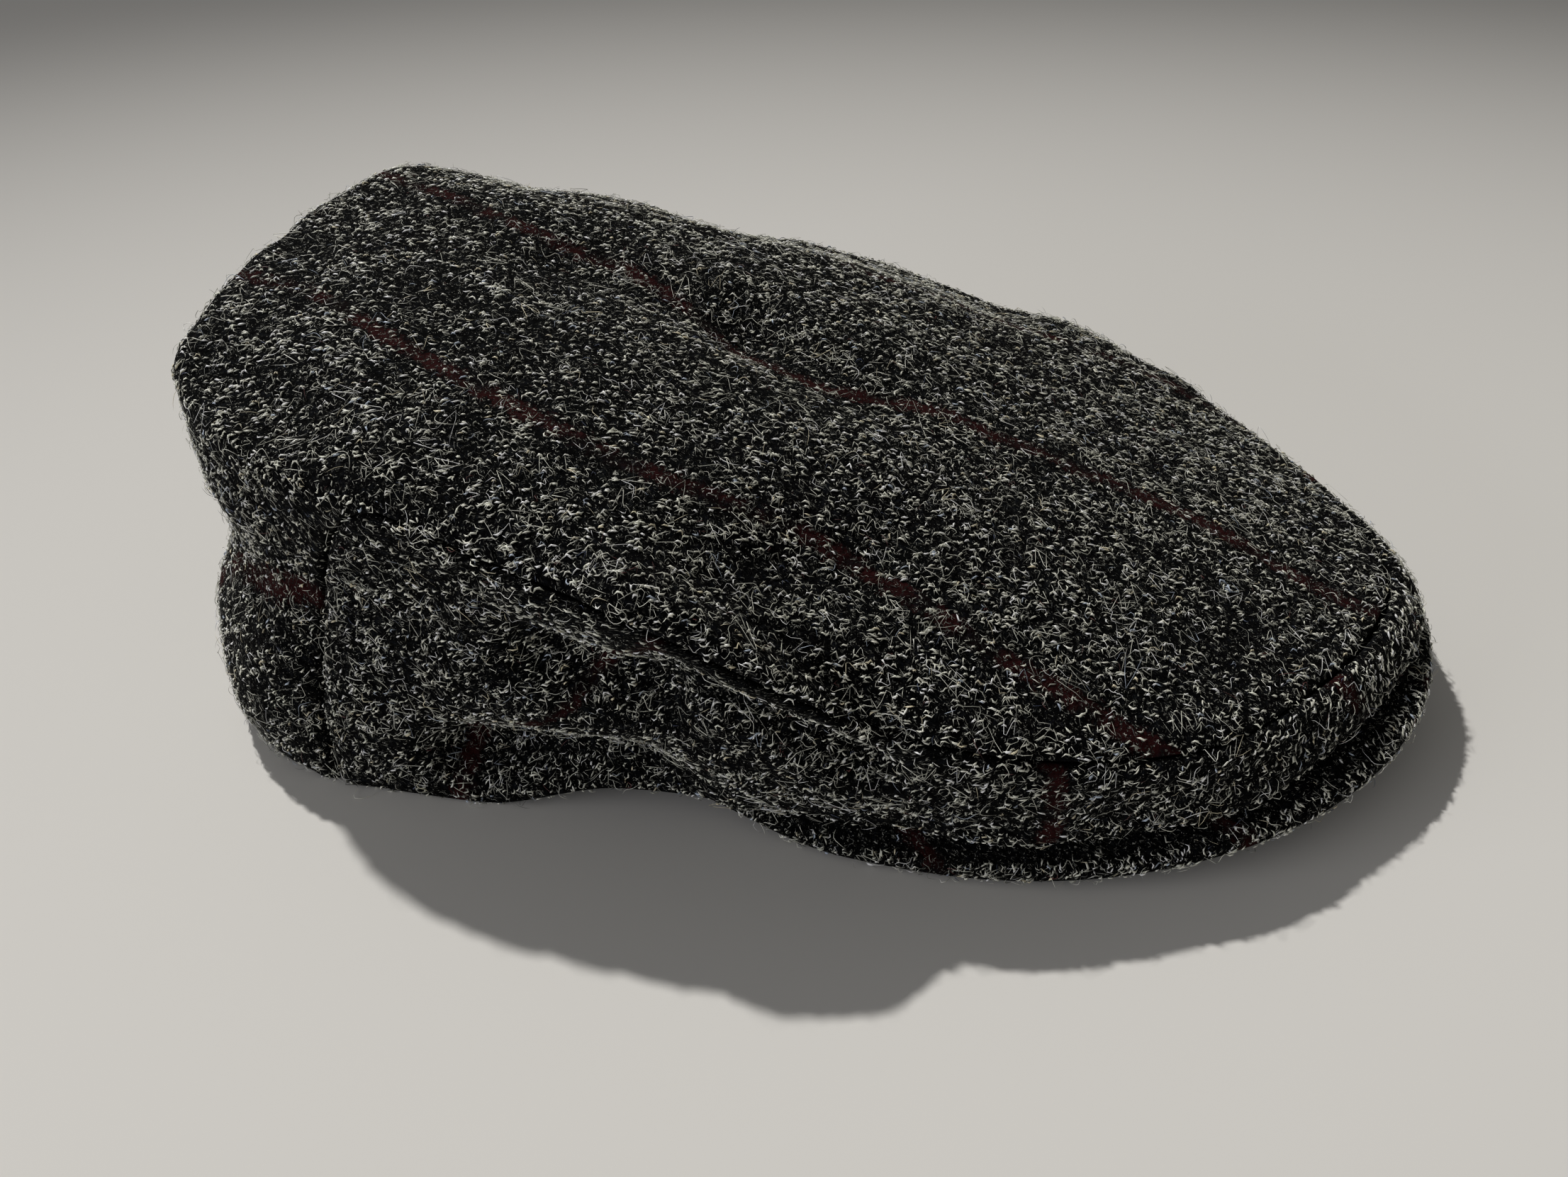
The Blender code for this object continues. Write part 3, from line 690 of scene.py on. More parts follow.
def panel_lines(u, w, along):
    """Distance across the overcheck on a side panel, from a grid of u, w and distances along."""
    middle = len(w) // 2
    knots, lengths = u[middle], along[middle]
    beyond = 0.2             # the panel's line of places goes on past both ends, in u
    start_speed = (lengths[1] - lengths[0]) / (knots[1] - knots[0])
    end_speed = (lengths[-1] - lengths[-2]) / (knots[-1] - knots[-2])
    knots = np.concatenate([[knots[0] - beyond], knots, [knots[-1] + beyond]])
    lengths = np.concatenate([[-beyond * start_speed], lengths, [lengths[-1] + beyond * end_speed]])
    place = np.interp(u.ravel(), knots, lengths)
    courses = np.array([np.interp(np.interp(w.ravel(), PANEL_LINE_HEIGHTS, line), knots, lengths)
                        for line in PANEL_LINES])
    away = place - courses
    nearest = np.abs(away).argmin(0)
    away = away[nearest, np.arange(len(place))]
    return nearest * CHECK + np.clip(away, OFF_STRIPE - CHECK / 2, CHECK / 2 - OFF_STRIPE)


def linear(colour):
    """A sRGB hex colour as linear RGBA."""
    parts = [int(colour[i:i + 2], 16) / 255 for i in (1, 3, 5)]
    return [p / 12.92 if p <= 0.04045 else ((p + 0.055) / 1.055) ** 2.4 for p in parts] + [1.0]


def add_node(tree, kind, settings=None, **inputs):
    """Adds a node. Settings are its properties, inputs its sockets by name or by number (i0, i1):
    a value, or the output socket that it is linked to."""
    node = tree.nodes.new(kind)
    for key, value in (settings or {}).items():
        setattr(node, key, value)
    for key, value in inputs.items():
        numbered = key[0] == "i" and key[1:].isdigit()
        socket = node.inputs[int(key[1:]) if numbered else key.replace("_", " ")]
        if isinstance(value, bpy.types.NodeSocket):
            tree.links.new(value, socket)
        elif isinstance(value, str):
            socket.default_value = linear(value)
        else:
            socket.default_value = value
    return node


def new_material(name, **inputs):
    """A material with one Principled shader and its sockets set."""
    material = bpy.data.materials.new(name)
    material.use_nodes = True
    tree = material.node_tree
    shader = tree.nodes["Principled BSDF"]
    for key, value in inputs.items():
        shader.inputs[key.replace("_", " ")].default_value = (
            linear(value) if isinstance(value, str) else value)
    return material, tree, shader


# Tweed is woven of carded wool yarn and milled until its face is hairy. In mm:
YARN = 1.4                   # between two yarns
RIB = YARN * 1.2             # between two twill ribs
BUMP = 0.8 * MM              # height of ribs, felt and fibres

# The patterns' scales, in features to a millimetre of the flat cloth. Fibres of wool are 0.03 mm
# thick, too fine to show, so the matted ones are drawn about 0.25 mm wide.
HEATHER = 0.55               # tufts of wool of one dye
RED_WANDER = 0.5             # how the red yarns were pushed about in milling: up to half of
RED_PUSH = 7.0               # this to either side, in mm, and the line's edge is so soft
RED_EDGE = (1.1, -0.9)       # that it starts and is full at these distances outside the line
RED_WORN = 0.09              # patches where the red is worn off or lies under pale wool
FIBRE_SHADE = 0.9
FIBRE_WAVES = 0.62
FIBRE_BREAKS = 0.85          # in this noise a fibre breaks off at the first of these values and
BREAK_AT = (0.60, 0.64)      # is whole above the second, both lower by this much of its share
SHARE_LOWERS = 0.2
FIBRE_SIDE = (0.14, 0.09)    # half a fibre's width where it ends and is full, in spacings
FIBRE_APART = (7.3, 3.1)     # how far apart the layers' patterns are read, in mm
FELT = 0.9
RIB_RISE = 0.35              # how high ribs and fibres stand, against the felt
FIBRE_RISE = 0.4
FLAT_NOISE = {"noise_dimensions": "2D"}
COLOUR_MIX = {"data_type": "RGBA"}

# Dyes of the ground, from the darkest, at their places in the heather's noise
HEATHER_DYES = [(0.30, "#030304"), (0.46, "#050506"), (0.58, "#090a0b"), (0.68, "#0f1116"),
                (0.80, "#1c1d1a")]
OVERCHECK_RED = "#371616"
RED_STRENGTH = 0.64          # share of the ground that a red line covers where it isn't worn

# Layers of fibres matted into the face, dim ones first: their turn from the cloth's length in
# degrees, how far apart they lie in mm, how wavy they are, how much of them shows, and their
# colours in shade and in light
Matting = namedtuple("Matting", "turn spacing crimp share dim pale")
MATTED_FIBRES = [
    Matting(50, 0.9, 3.0, 0.30, "#131312", "#2c2c2a"),
    Matting(8, 1.1, 3.6, 0.16, "#222220", "#60605a"),
    Matting(30, 1.3, 4.2, 0.14, "#5e5e58", "#bcbcb3"),
]


def heather_ground(tree, flat):
    """Dyed wools carded together, as a colour."""
    tufts = add_node(tree, "ShaderNodeTexNoise", FLAT_NOISE, Vector=flat, Scale=HEATHER,
                     Detail=3.0, Roughness=0.6)
    heather = add_node(tree, "ShaderNodeValToRGB", Fac=tufts.outputs["Fac"])
    dyes = heather.color_ramp.elements
    for end in (0, -1):
        dyes[end].position, colour = HEATHER_DYES[end]
        dyes[end].color = linear(colour)
    for position, colour in HEATHER_DYES[1:-1]:
        dyes.new(position).color = linear(colour)
    return heather.outputs["Color"]


def red_lines(tree, flat, across):
    """Where the ground is red, 0 to 1: a line lies on each multiple of the check, with a ragged
    edge and worn patches."""
    from_line = add_node(tree, "ShaderNodeMath", {"operation": "PINGPONG"}, i0=across,
                         i1=CHECK / MM / 2)
    wander = add_node(tree, "ShaderNodeTexNoise", FLAT_NOISE, Vector=flat, Scale=RED_WANDER,
                      Detail=3.0, Roughness=0.7)
    loose = add_node(tree, "ShaderNodeMath", {"operation": "MULTIPLY_ADD"},
                     i0=wander.outputs["Fac"], i1=RED_PUSH, i2=from_line.outputs[0])
    edge = HALF_LINE + RED_PUSH / 2
    near_line = add_node(tree, "ShaderNodeMapRange", {"interpolation_type": "SMOOTHSTEP"},
                         Value=loose.outputs[0], From_Min=edge + RED_EDGE[0],
                         From_Max=edge + RED_EDGE[1], To_Min=0.0, To_Max=RED_STRENGTH)
    thinning = add_node(tree, "ShaderNodeTexNoise", FLAT_NOISE, Vector=flat, Scale=RED_WORN,
                    Detail=2.0, Roughness=0.6)
    patches = add_node(tree, "ShaderNodeMapRange", Value=thinning.outputs["Fac"], From_Min=0.38,
                       From_Max=0.57, To_Min=0.10, To_Max=1.0)
    redness = add_node(tree, "ShaderNodeMath", {"operation": "MULTIPLY"},
                       i0=near_line.outputs[0], i1=patches.outputs[0])
    return redness.outputs[0]


def matted_fibres(tree, flat, matting, order):
    """Curly fibres that lie matted in the face of the cloth: wavy lines broken into pieces.
    Returns where they are, 0 to 1."""
    turned = add_node(tree, "ShaderNodeMapping", Vector=flat,
                      Rotation=(0, 0, math.radians(matting.turn)),
                      Location=(order * FIBRE_APART[0], order * FIBRE_APART[1], 0)).outputs[0]
    part = add_node(tree, "ShaderNodeSeparateXYZ", i0=turned)
    wave = add_node(tree, "ShaderNodeTexNoise", FLAT_NOISE, Vector=turned, Scale=FIBRE_WAVES,
                    Detail=1.0, Roughness=0.45)
    bent = add_node(tree, "ShaderNodeMath", {"operation": "MULTIPLY"}, i0=wave.outputs["Fac"],
                    i1=matting.crimp)
    field = add_node(tree, "ShaderNodeMath", {"operation": "MULTIPLY_ADD"}, i0=part.outputs["Y"],
                     i1=1 / matting.spacing, i2=bent.outputs[0])
    fold = add_node(tree, "ShaderNodeMath", {"operation": "PINGPONG"}, i0=field.outputs[0], i1=0.5)
    line = add_node(tree, "ShaderNodeMapRange", Value=fold.outputs[0], From_Min=FIBRE_SIDE[0],
                    From_Max=FIBRE_SIDE[1], To_Min=0.0, To_Max=1.0)
    breaks = add_node(tree, "ShaderNodeTexNoise", FLAT_NOISE, Vector=turned, Scale=FIBRE_BREAKS,
                      Detail=1.0, Roughness=0.6)
    lower = matting.share * SHARE_LOWERS
    whole = add_node(tree, "ShaderNodeMapRange", Value=breaks.outputs["Fac"],
                     From_Min=BREAK_AT[0] - lower, From_Max=BREAK_AT[1] - lower)
    found = add_node(tree, "ShaderNodeMath", {"operation": "MULTIPLY"}, i0=line.outputs[0],
                     i1=whole.outputs[0])
    return found.outputs[0]


def matted_nap(tree, flat, ground):
    """The ground's colour with the nap's fibres matted over it, and their relief, 0 to 1."""
    shade = add_node(tree, "ShaderNodeTexNoise", FLAT_NOISE, Vector=flat, Scale=FIBRE_SHADE,
                     Detail=2.0, Roughness=0.6)
    tone = add_node(tree, "ShaderNodeMapRange", Value=shade.outputs["Fac"], From_Min=0.35,
                    From_Max=0.65)
    face, relief = ground, None
    for order, matting in enumerate(MATTED_FIBRES, 1):
        found = matted_fibres(tree, flat, matting, order)
        wool = add_node(tree, "ShaderNodeMix", COLOUR_MIX, Factor=tone.outputs[0],
                        i6=matting.dim, i7=matting.pale)
        face = add_node(tree, "ShaderNodeMix", COLOUR_MIX, Factor=found, i6=face,
                        i7=wool.outputs[2]).outputs[2]
        relief = found if relief is None else add_node(
            tree, "ShaderNodeMath", {"operation": "MAXIMUM"}, i0=relief, i1=found).outputs[0]
    return face, relief


def woven_relief(tree, flat, fibre_relief):
    """The fibres stand on twill ribs over the yarns and on felted hair. Returns the normal."""
    ribs = add_node(tree, "ShaderNodeTexWave",
                    {"wave_type": "BANDS", "bands_direction": "DIAGONAL", "wave_profile": "SIN"},
                    Vector=flat, Scale=math.pi / (10 * RIB), Distortion=2.5, Detail=2.0)
    felt = add_node(tree, "ShaderNodeTexNoise", FLAT_NOISE, Vector=flat, Scale=FELT, Detail=3.0,
                    Roughness=0.65)
    ribbed = add_node(tree, "ShaderNodeMath", {"operation": "MULTIPLY_ADD"},
                      i0=ribs.outputs["Fac"], i1=RIB_RISE, i2=felt.outputs["Fac"])
    height = add_node(tree, "ShaderNodeMath", {"operation": "MULTIPLY_ADD"}, i0=fibre_relief,
                      i1=FIBRE_RISE, i2=ribbed.outputs[0])
    bump = add_node(tree, "ShaderNodeBump", Strength=0.8, Distance=BUMP, Height=height.outputs[0])
    return bump.outputs[0]


def woven_wool_tweed(name):
    """Milled woollen tweed: a nearly black heather ground that swallows the light, matted with
    curly pale fibres, with a soft sheen at its edge from the nap, twill ribs that only just
    show, and dark red lines."""
    material, tree, shader = new_material(
        name, Roughness=0.92, Metallic=0.0, IOR=1.45, Specular_IOR_Level=0.03,
        Sheen_Weight=0.03, Sheen_Roughness=0.5, Sheen_Tint="#8d8c86")
    cloth = add_node(tree, "ShaderNodeAttribute", {"attribute_name": "cloth"})
    millimetres = add_node(tree, "ShaderNodeVectorMath", {"operation": "SCALE"},
                           i0=cloth.outputs["Vector"], Scale=1 / MM)
    place = add_node(tree, "ShaderNodeSeparateXYZ", i0=millimetres.outputs[0])
    flat = add_node(tree, "ShaderNodeCombineXYZ", X=place.outputs["X"],
                    Y=place.outputs["Y"]).outputs[0]
    heather = heather_ground(tree, flat)
    redness = red_lines(tree, flat, place.outputs["Z"])
    ground = add_node(tree, "ShaderNodeMix", COLOUR_MIX, Factor=redness, i6=heather,
                      i7=OVERCHECK_RED)
    face, fibre_relief = matted_nap(tree, flat, ground.outputs[2])
    tree.links.new(face, shader.inputs["Base Color"])
    tree.links.new(woven_relief(tree, flat, fibre_relief), shader.inputs["Normal"])
    return material


def carded_wool_fibre(name):
    """Single coarse wool fibres, undyed and dyed, with a gloss along them that makes the pale
    ones sparkle. Each one's colour is kept in its mesh."""
    material, tree, shader = new_material(
        name, Roughness=0.45, Metallic=0.0, IOR=1.55, Specular_IOR_Level=0.7)
    colour = add_node(tree, "ShaderNodeAttribute", {"attribute_name": "wool"})
    tree.links.new(colour.outputs["Color"], shader.inputs["Base Color"])
    return material


# How the pale wool lies on the cloth. Features to a millimetre, along and across it:
TUFTS = (0.62, 0.85)         # tufts of a millimetre or two
STREAKS = (0.03, 0.42)       # single yarns that are paler
STREAK_SHARE = 0.6
WOOL_MIDDLE = 0.46
WOOL_CONTRAST = 0.95
ON_RED = 0.5                 # share of the wool that lies on a red line, which is this much wider
RED_REACH = 1.2              # in the wool than in the ground
ON_STRIPE = 1.6              # and on the paler stripe
BACK_SHADE_AT = Place(50, -5)      # painted shade: the top of the crown's back gets a little less pale wool around here, over this distance, which darkens it against the brighter key light there
BACK_SHADE_REACH = 60 * MM         # over this distance
CROWN_BACK_SHADE = 0.45
TRIES = 2.6                  # random places tried for each one that is kept, on average


def woolliness(flat):
    """How much pale wool lies at each place of the flat cloth, 0 to 1. The third coordinate only
    keeps tufts and streaks apart in the noise."""
    amount = [noise.noise((x * TUFTS[0], y * TUFTS[1], 1.5))
              + noise.noise((x * STREAKS[0], y * STREAKS[1], 7.5)) * STREAK_SHARE
              for x, y in (flat[:, :2] / MM).tolist()]
    return smoothstep(WOOL_MIDDLE + np.array(amount) * WOOL_CONTRAST)


def off_yarn(flat):
    """How far each place is from a crossing of the twill, 0 to 1."""
    x, y = (flat[:, :2] / MM / YARN).T
    over = (np.cos(2 * math.pi * y) + np.cos(2 * math.pi * (x + y / 2))) / 4
    return 0.5 - over


class Scatter:
    """Random places on the outer face of a piece, with the cloth's own directions there."""

    def __init__(self, points, faces, coordinates, free, seed, thinning):
        self.thinning = thinning
        triangles = np.array([(face[0], face[k], face[k + 1]) for face in faces
                              for k in range(1, len(face) - 1)])
        self.corners = points[triangles]
        self.flat = np.column_stack([coordinates, free])[triangles]
        side_a = self.corners[:, 1] - self.corners[:, 0]
        side_b = self.corners[:, 2] - self.corners[:, 0]
        cross = np.cross(side_a, side_b)
        self.area = np.linalg.norm(cross, axis=1) / 2
        self.normal = cross / np.maximum(np.linalg.norm(cross, axis=1, keepdims=True), 1e-12)
        rise_a = (self.flat[:, 1] - self.flat[:, 0])[:, 0, None]
        rise_b = (self.flat[:, 2] - self.flat[:, 0])[:, 0, None]
        along = (rise_a * np.cross(side_b, self.normal) + rise_b * np.cross(self.normal, side_a))
        self.along = along / np.maximum(np.linalg.norm(along, axis=1, keepdims=True), 1e-12)
        self.chance = np.random.default_rng(seed)

    def likely(self, flat, evenly, on_yarn):
        """How likely a fibre lies at each place: it follows the wool and the yarns, and is rarer
        at the top of the crown's back, as painted shade, on the red lines and beside a seam."""
        likely = (evenly + (1 - evenly) * woolliness(flat)) * (1 - on_yarn * off_yarn(flat))
        from_back_shade = np.hypot(flat[:, 0] - BACK_SHADE_AT.along * MM, flat[:, 1] - BACK_SHADE_AT.across * MM)
        # painted shade: fewer pale fibres at the top of the crown's back darken it against the
        # brighter key light there
        likely = likely * (1 - self.thinning * np.exp(-(from_back_shade / BACK_SHADE_REACH) ** 2))
        line = np.abs(np.mod(flat[:, 2] + CHECK / 2, CHECK) - CHECK / 2)
        likely = likely * np.where(line < HALF_LINE * MM * RED_REACH, ON_RED, 1.0)
        likely = likely * np.where(line > CHECK / 2 - HALF_STRIPE, ON_STRIPE, 1.0)
        off_seam = smoothstep(flat[:, 3] / SEAM_FREE)
        return likely * (LEFT_ON_SEAM + (1 - LEFT_ON_SEAM) * off_seam)

    def places(self, per_square_cm, keep_if, evenly, on_yarn=0.0):
        """Points, normals and cloth directions for fibres of one kind."""
        count = int(self.area.sum() * 1e4 * per_square_cm * TRIES)
        pick = self.chance.choice(len(self.area), count, p=self.area / self.area.sum())
        a, b = self.chance.random((2, count))
        over = a + b > 1
        a, b = np.where(over, 1 - a, a), np.where(over, 1 - b, b)
        weights = np.stack([1 - a - b, a, b], 1)[..., None]
        point = (self.corners[pick] * weights).sum(1)
        flat = (self.flat[pick] * weights).sum(1)
        likely = self.likely(flat, evenly, on_yarn)
        kept = self.chance.random(count) * TRIES * likely.mean() < likely
        if keep_if is not None:
            kept &= keep_if(point, self.normal[pick])
        return point[kept], self.normal[pick][kept], self.along[pick][kept]


# Single fibres of wool, as closed three-sided meshes
OVER_TABLE = 0.3 * MM        # no fibre lies lower
SLANTED = np.array([0.3, 0.2, 0.93])  # hardly any fibre runs this way, so it gives them a side
THIRDS = (math.pi / 2, math.pi * 7 / 6, math.pi * 11 / 6)


def fibre_faces(length):
    """Triangles of one fibre along this many points: rings of three corners, then its two tips."""
    last = 3 * (length - 3)
    first_tip, last_tip = last + 3, last + 4
    faces = []
    for here in range(3):
        after = (here + 1) % 3
        faces.append((first_tip, here, after))
        for ring in range(0, last, 3):
            a, b = ring + here, ring + after
            faces += [(a, a + 3, b + 3), (a, b + 3, b)]
        faces.append((last + here, last_tip, last + after))
    return np.array(faces)


def fibres(name, spines, radii, colours, material):
    """Closed three-sided fibres along spines (count, points, 3), pointed at both ends."""
    count, length = spines.shape[:2]
    spines[..., 2] = np.maximum(spines[..., 2], cad_low.z + OVER_TABLE)
    run = np.gradient(spines, axis=1)
    run /= np.linalg.norm(run, axis=-1, keepdims=True)
    side = np.cross(run, SLANTED)
    side /= np.maximum(np.linalg.norm(side, axis=-1, keepdims=True), 1e-9)
    up = np.cross(side, run)
    taper = np.sin(np.linspace(0, math.pi, length))[1:-1] ** 0.5
    radius = radii[:, None, None] * taper[None, :, None]
    rings = [spines[:, 1:-1] + radius * (side[:, 1:-1] * math.cos(a) + up[:, 1:-1] * math.sin(a))
             for a in THIRDS]
    rings = np.stack(rings, 2).reshape(count, -1, 3)
    points = np.concatenate([rings, spines[:, :1], spines[:, -1:]], 1)
    size = points.shape[1]
    faces = (fibre_faces(length) + np.arange(count)[:, None, None] * size).reshape(-1, 3)
    mesh = bpy.data.meshes.new(name)
    mesh.vertices.add(count * size)
    mesh.vertices.foreach_set("co", points.astype(np.float32).ravel())
    mesh.loops.add(len(faces) * 3)
    mesh.loops.foreach_set("vertex_index", faces.astype(np.int32).ravel())
    mesh.polygons.add(len(faces))
    mesh.polygons.foreach_set("loop_start", np.arange(0, len(faces) * 3, 3, dtype=np.int32))
    mesh.update(calc_edges=True)
    mesh.shade_smooth()
    layer = mesh.attributes.new("wool", "FLOAT_COLOR", "POINT")
    layer.data.foreach_set("color", np.repeat(colours, size, 0).astype(np.float32).ravel())
    mesh.materials.append(material)
    return into_scene(name, mesh)


# Dyes of the wool and how often each one comes, against the others
PALE_WOOLS = [(3, "#dddecf"), (7, "#faf9ea"), (1, "#a2a296"), (0.4, "#e2d8ba"), (0.3, "#b4bfce")]
GREY_WOOLS = [(4, "#6f706a"), (3, "#8f9089"), (3, "#3c3d3b"), (0.4, "#5a2c2a"), (0.5, "#46506a")]
DARKEST_TAKE = 0.55          # a dye takes differently on each fibre: its colour is multiplied by
TAKE_RANGE = 0.75            # this and up to so much more
BRIGHTEST = 0.95

# What lies on the cloth. Evenly is the share that doesn't follow the tufts and streaks of the
# wool, on_yarn how strictly the others keep to the yarns' crossings. Length, width, lift and arch
# are (smallest, largest) in mm: lift is that of a fibre's ends, arch how much its middle rises.
# Curl bends it sideways and wriggle waves it, and turns spreads its way about the grain, in
# radians.
Layer = namedtuple("Layer", "name per_square_cm evenly on_yarn length width lift arch curl "
                            "wriggle turns palette points")
LAID_WOOL = [
    Layer("wool_tufts", 22.5, 0.05, 0.85, (1.1, 2.4), (0.34, 0.56), (0.02, 0.15), (0.15, 0.5),
          0.5, 0.5, 0.32, PALE_WOOLS, 4),
    Layer("fine_flecks", 13, 0.2, 0.4, (1.2, 2.8), (0.15, 0.24), (0.0, 0.15), (0.1, 0.5),
          0.9, 0.5, 0.6, PALE_WOOLS + GREY_WOOLS, 4),
    Layer("curled_hairs", 5, 0.5, 0.0, (2.2, 6.5), (0.10, 0.16), (0.1, 0.4), (0.3, 1.3),
          0.6, 0.9, 1.0, PALE_WOOLS, 8),
]
CROWN_GRAIN = 0.42           # how far the grain turns from the cloth's length, in radians
PANEL_GRAIN = 0.9
AGAINST_GRAIN = 0.14         # share of the fibres that lie any way
MOSTLY_SMALL = 1.6           # above 1, small sizes are more common than large ones
ONE_WAY = 0.35               # fibres curl to one side more than to the other
LEAST_WAVES = 0.6            # half waves along half a fibre, before its wriggle is added

# Loose ends that stand off the cloth, with sizes in mm and the rest as shares of their length
STRAY_PER_SQUARE_CM = 3.5
STRAY_EVENLY = 0.7
STRAY_SHORTEST = 1.2
STRAY_LONGER = 2.2           # the longest one is longer by this
STRAY_RADIUS = 0.03          # of the thinnest one, and the thickest has twice this
STRAY_LEAST_LEAN = 0.3
STRAY_HOOK = 0.5             # sideways
STRAY_DROOP = 0.45
STRAY_POINTS = 6


def lay_fibres(name, scatter, places, material, layer, grain):
    """Curved fibres that lie on the cloth, their ends tucked in."""
    chance = scatter.chance
    point, normal, along = places
    count = len(point)
    turn = grain + chance.normal(size=count) * layer.turns
    anywhere = chance.random(count) < AGAINST_GRAIN
    turn = np.where(anywhere, chance.random(count) * math.pi, turn)[:, None]
    beside = np.cross(normal, along)
    way = along * np.cos(turn) + beside * np.sin(turn)
    beside = np.cross(normal, way)

    def between(pair):
        small, large = pair[0] * MM, pair[1] * MM
        return (small + (large - small) * chance.random(count) ** MOSTLY_SMALL)[:, None, None]

    reach, high = between(layer.length), between(layer.arch)
    bow = (ONE_WAY + chance.normal(size=count))[:, None, None] * layer.curl
    wave = chance.normal(size=count)[:, None, None] * layer.curl * layer.wriggle
    start = chance.random(count)[:, None, None] * math.pi
    t = np.linspace(-1, 1, layer.points)[None, :, None]
    over = 1 - t ** 2
    bent = bow * over + wave * np.sin(t * math.pi * (LEAST_WAVES + layer.wriggle) + start)
    spines = (point[:, None] + way[:, None] * reach / 2 * t + beside[:, None] * reach / 2 * bent
              + normal[:, None] * (between(layer.lift) + high * over))
    rows = np.array([linear(colour) for _, colour in layer.palette])
    odds = np.array([row[0] for row in layer.palette], float)
    colours = rows[chance.choice(len(layer.palette), count, p=odds / odds.sum())]
    colours[:, :3] *= (DARKEST_TAKE + TAKE_RANGE * chance.random(count))[:, None]
    colours = np.minimum(colours, BRIGHTEST)
    radii = between(layer.width).ravel() / 2
    return fibres(name, spines, radii, colours, material)


def stand_hairs(name, scatter, places, material):
    """Loose ends of fibres that stand off the cloth and bend over."""
    chance = scatter.chance
    point, normal, along = places
    count = len(point)
    turn = (chance.random(count) * 2 * math.pi)[:, None]
    way = along * np.cos(turn) + np.cross(normal, along) * np.sin(turn)
    beside = np.cross(normal, way)
    longer = STRAY_LONGER * MM * chance.random(count) ** 2
    reach = (STRAY_SHORTEST * MM + longer)[:, None, None]
    lean = (STRAY_LEAST_LEAN + chance.random(count))[:, None, None]
    hook = chance.normal(size=count)[:, None, None] * STRAY_HOOK
    t = np.linspace(0, 1, STRAY_POINTS)[None, :, None]
    spines = (point[:, None] + normal[:, None] * reach * (t - STRAY_DROOP * t ** 2)
              + way[:, None] * reach * lean * t ** 1.5 + beside[:, None] * reach * hook * t ** 2)
    rows = np.array([linear(colour) for _, colour in PALE_WOOLS + GREY_WOOLS])
    colours = rows[chance.integers(len(rows), size=count)]
    radii = (STRAY_RADIUS + STRAY_RADIUS * chance.random(count)) * MM
    return fibres(name, spines, radii, colours, material)


def dress(name, outer, kept, coordinates, free, seed, wool, grain, keep_if=None, thinning=0.0):
    """Lays tufts, flecks and hairs over one piece's outer face."""
    scatter = Scatter(outer, kept, coordinates, free, seed, thinning)
    made = []
    for layer in LAID_WOOL:
        places = scatter.places(layer.per_square_cm, keep_if, layer.evenly, layer.on_yarn)
        made.append(lay_fibres(f"{name}_{layer.name}", scatter, places, wool, layer, grain))
    places = scatter.places(STRAY_PER_SQUARE_CM, keep_if, STRAY_EVENLY)
    made.append(stand_hairs(f"{name}_stray_hairs", scatter, places, wool))
    for fibre in made:
        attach(fibre, "root")


FRONT_SEAM_AT = 0.5          # u of the seam at the centre front
WOOL_SEEDS = {"crown": 11, "side_panel_right": 21, "side_panel_left": 31, "peak": 41}


def front_seam_line(w):
    return np.full_like(w, FRONT_SEAM_AT)


def build_side_panel(name, side, tweed, wool):
    """A side panel from the tail's seam to the centre front; side is -1 right and 1 left."""
    u, w = wall_grid(seam_line, front_seam_line, PANEL_COLUMNS, True)
    cloth = Cloth()
    grid = cloth.add(u if side < 0 else 1 - u, w)
    cloth.skin(grid if side < 0 else grid[:, ::-1])
    along, up = unfold_panel(u, w)
    lines = panel_lines(u, w, along)
    coordinates = np.stack([along.ravel(), up.ravel(), lines], 1)
    piece, outer, kept, free = build_shell(f"{name}_tweed", cloth, coordinates, tweed, True)
    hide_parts(name)
    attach(piece, "root")
    dress(name, outer, kept, coordinates, free, WOOL_SEEDS[name], wool, PANEL_GRAIN)


def crown_ring(tail_u):
    """Values of u round the crown's edge: over the tail, then over the panels' own columns."""
    panel_u, _ = wall_grid(seam_line, front_seam_line, PANEL_COLUMNS, True)
    right = panel_u[-1, 1:-1]
    right = right[right > tail_u[-1].max() + 1e-4]
    return np.concatenate([tail_u[-1], right, [FRONT_SEAM_AT], (1 - right)[::-1]])


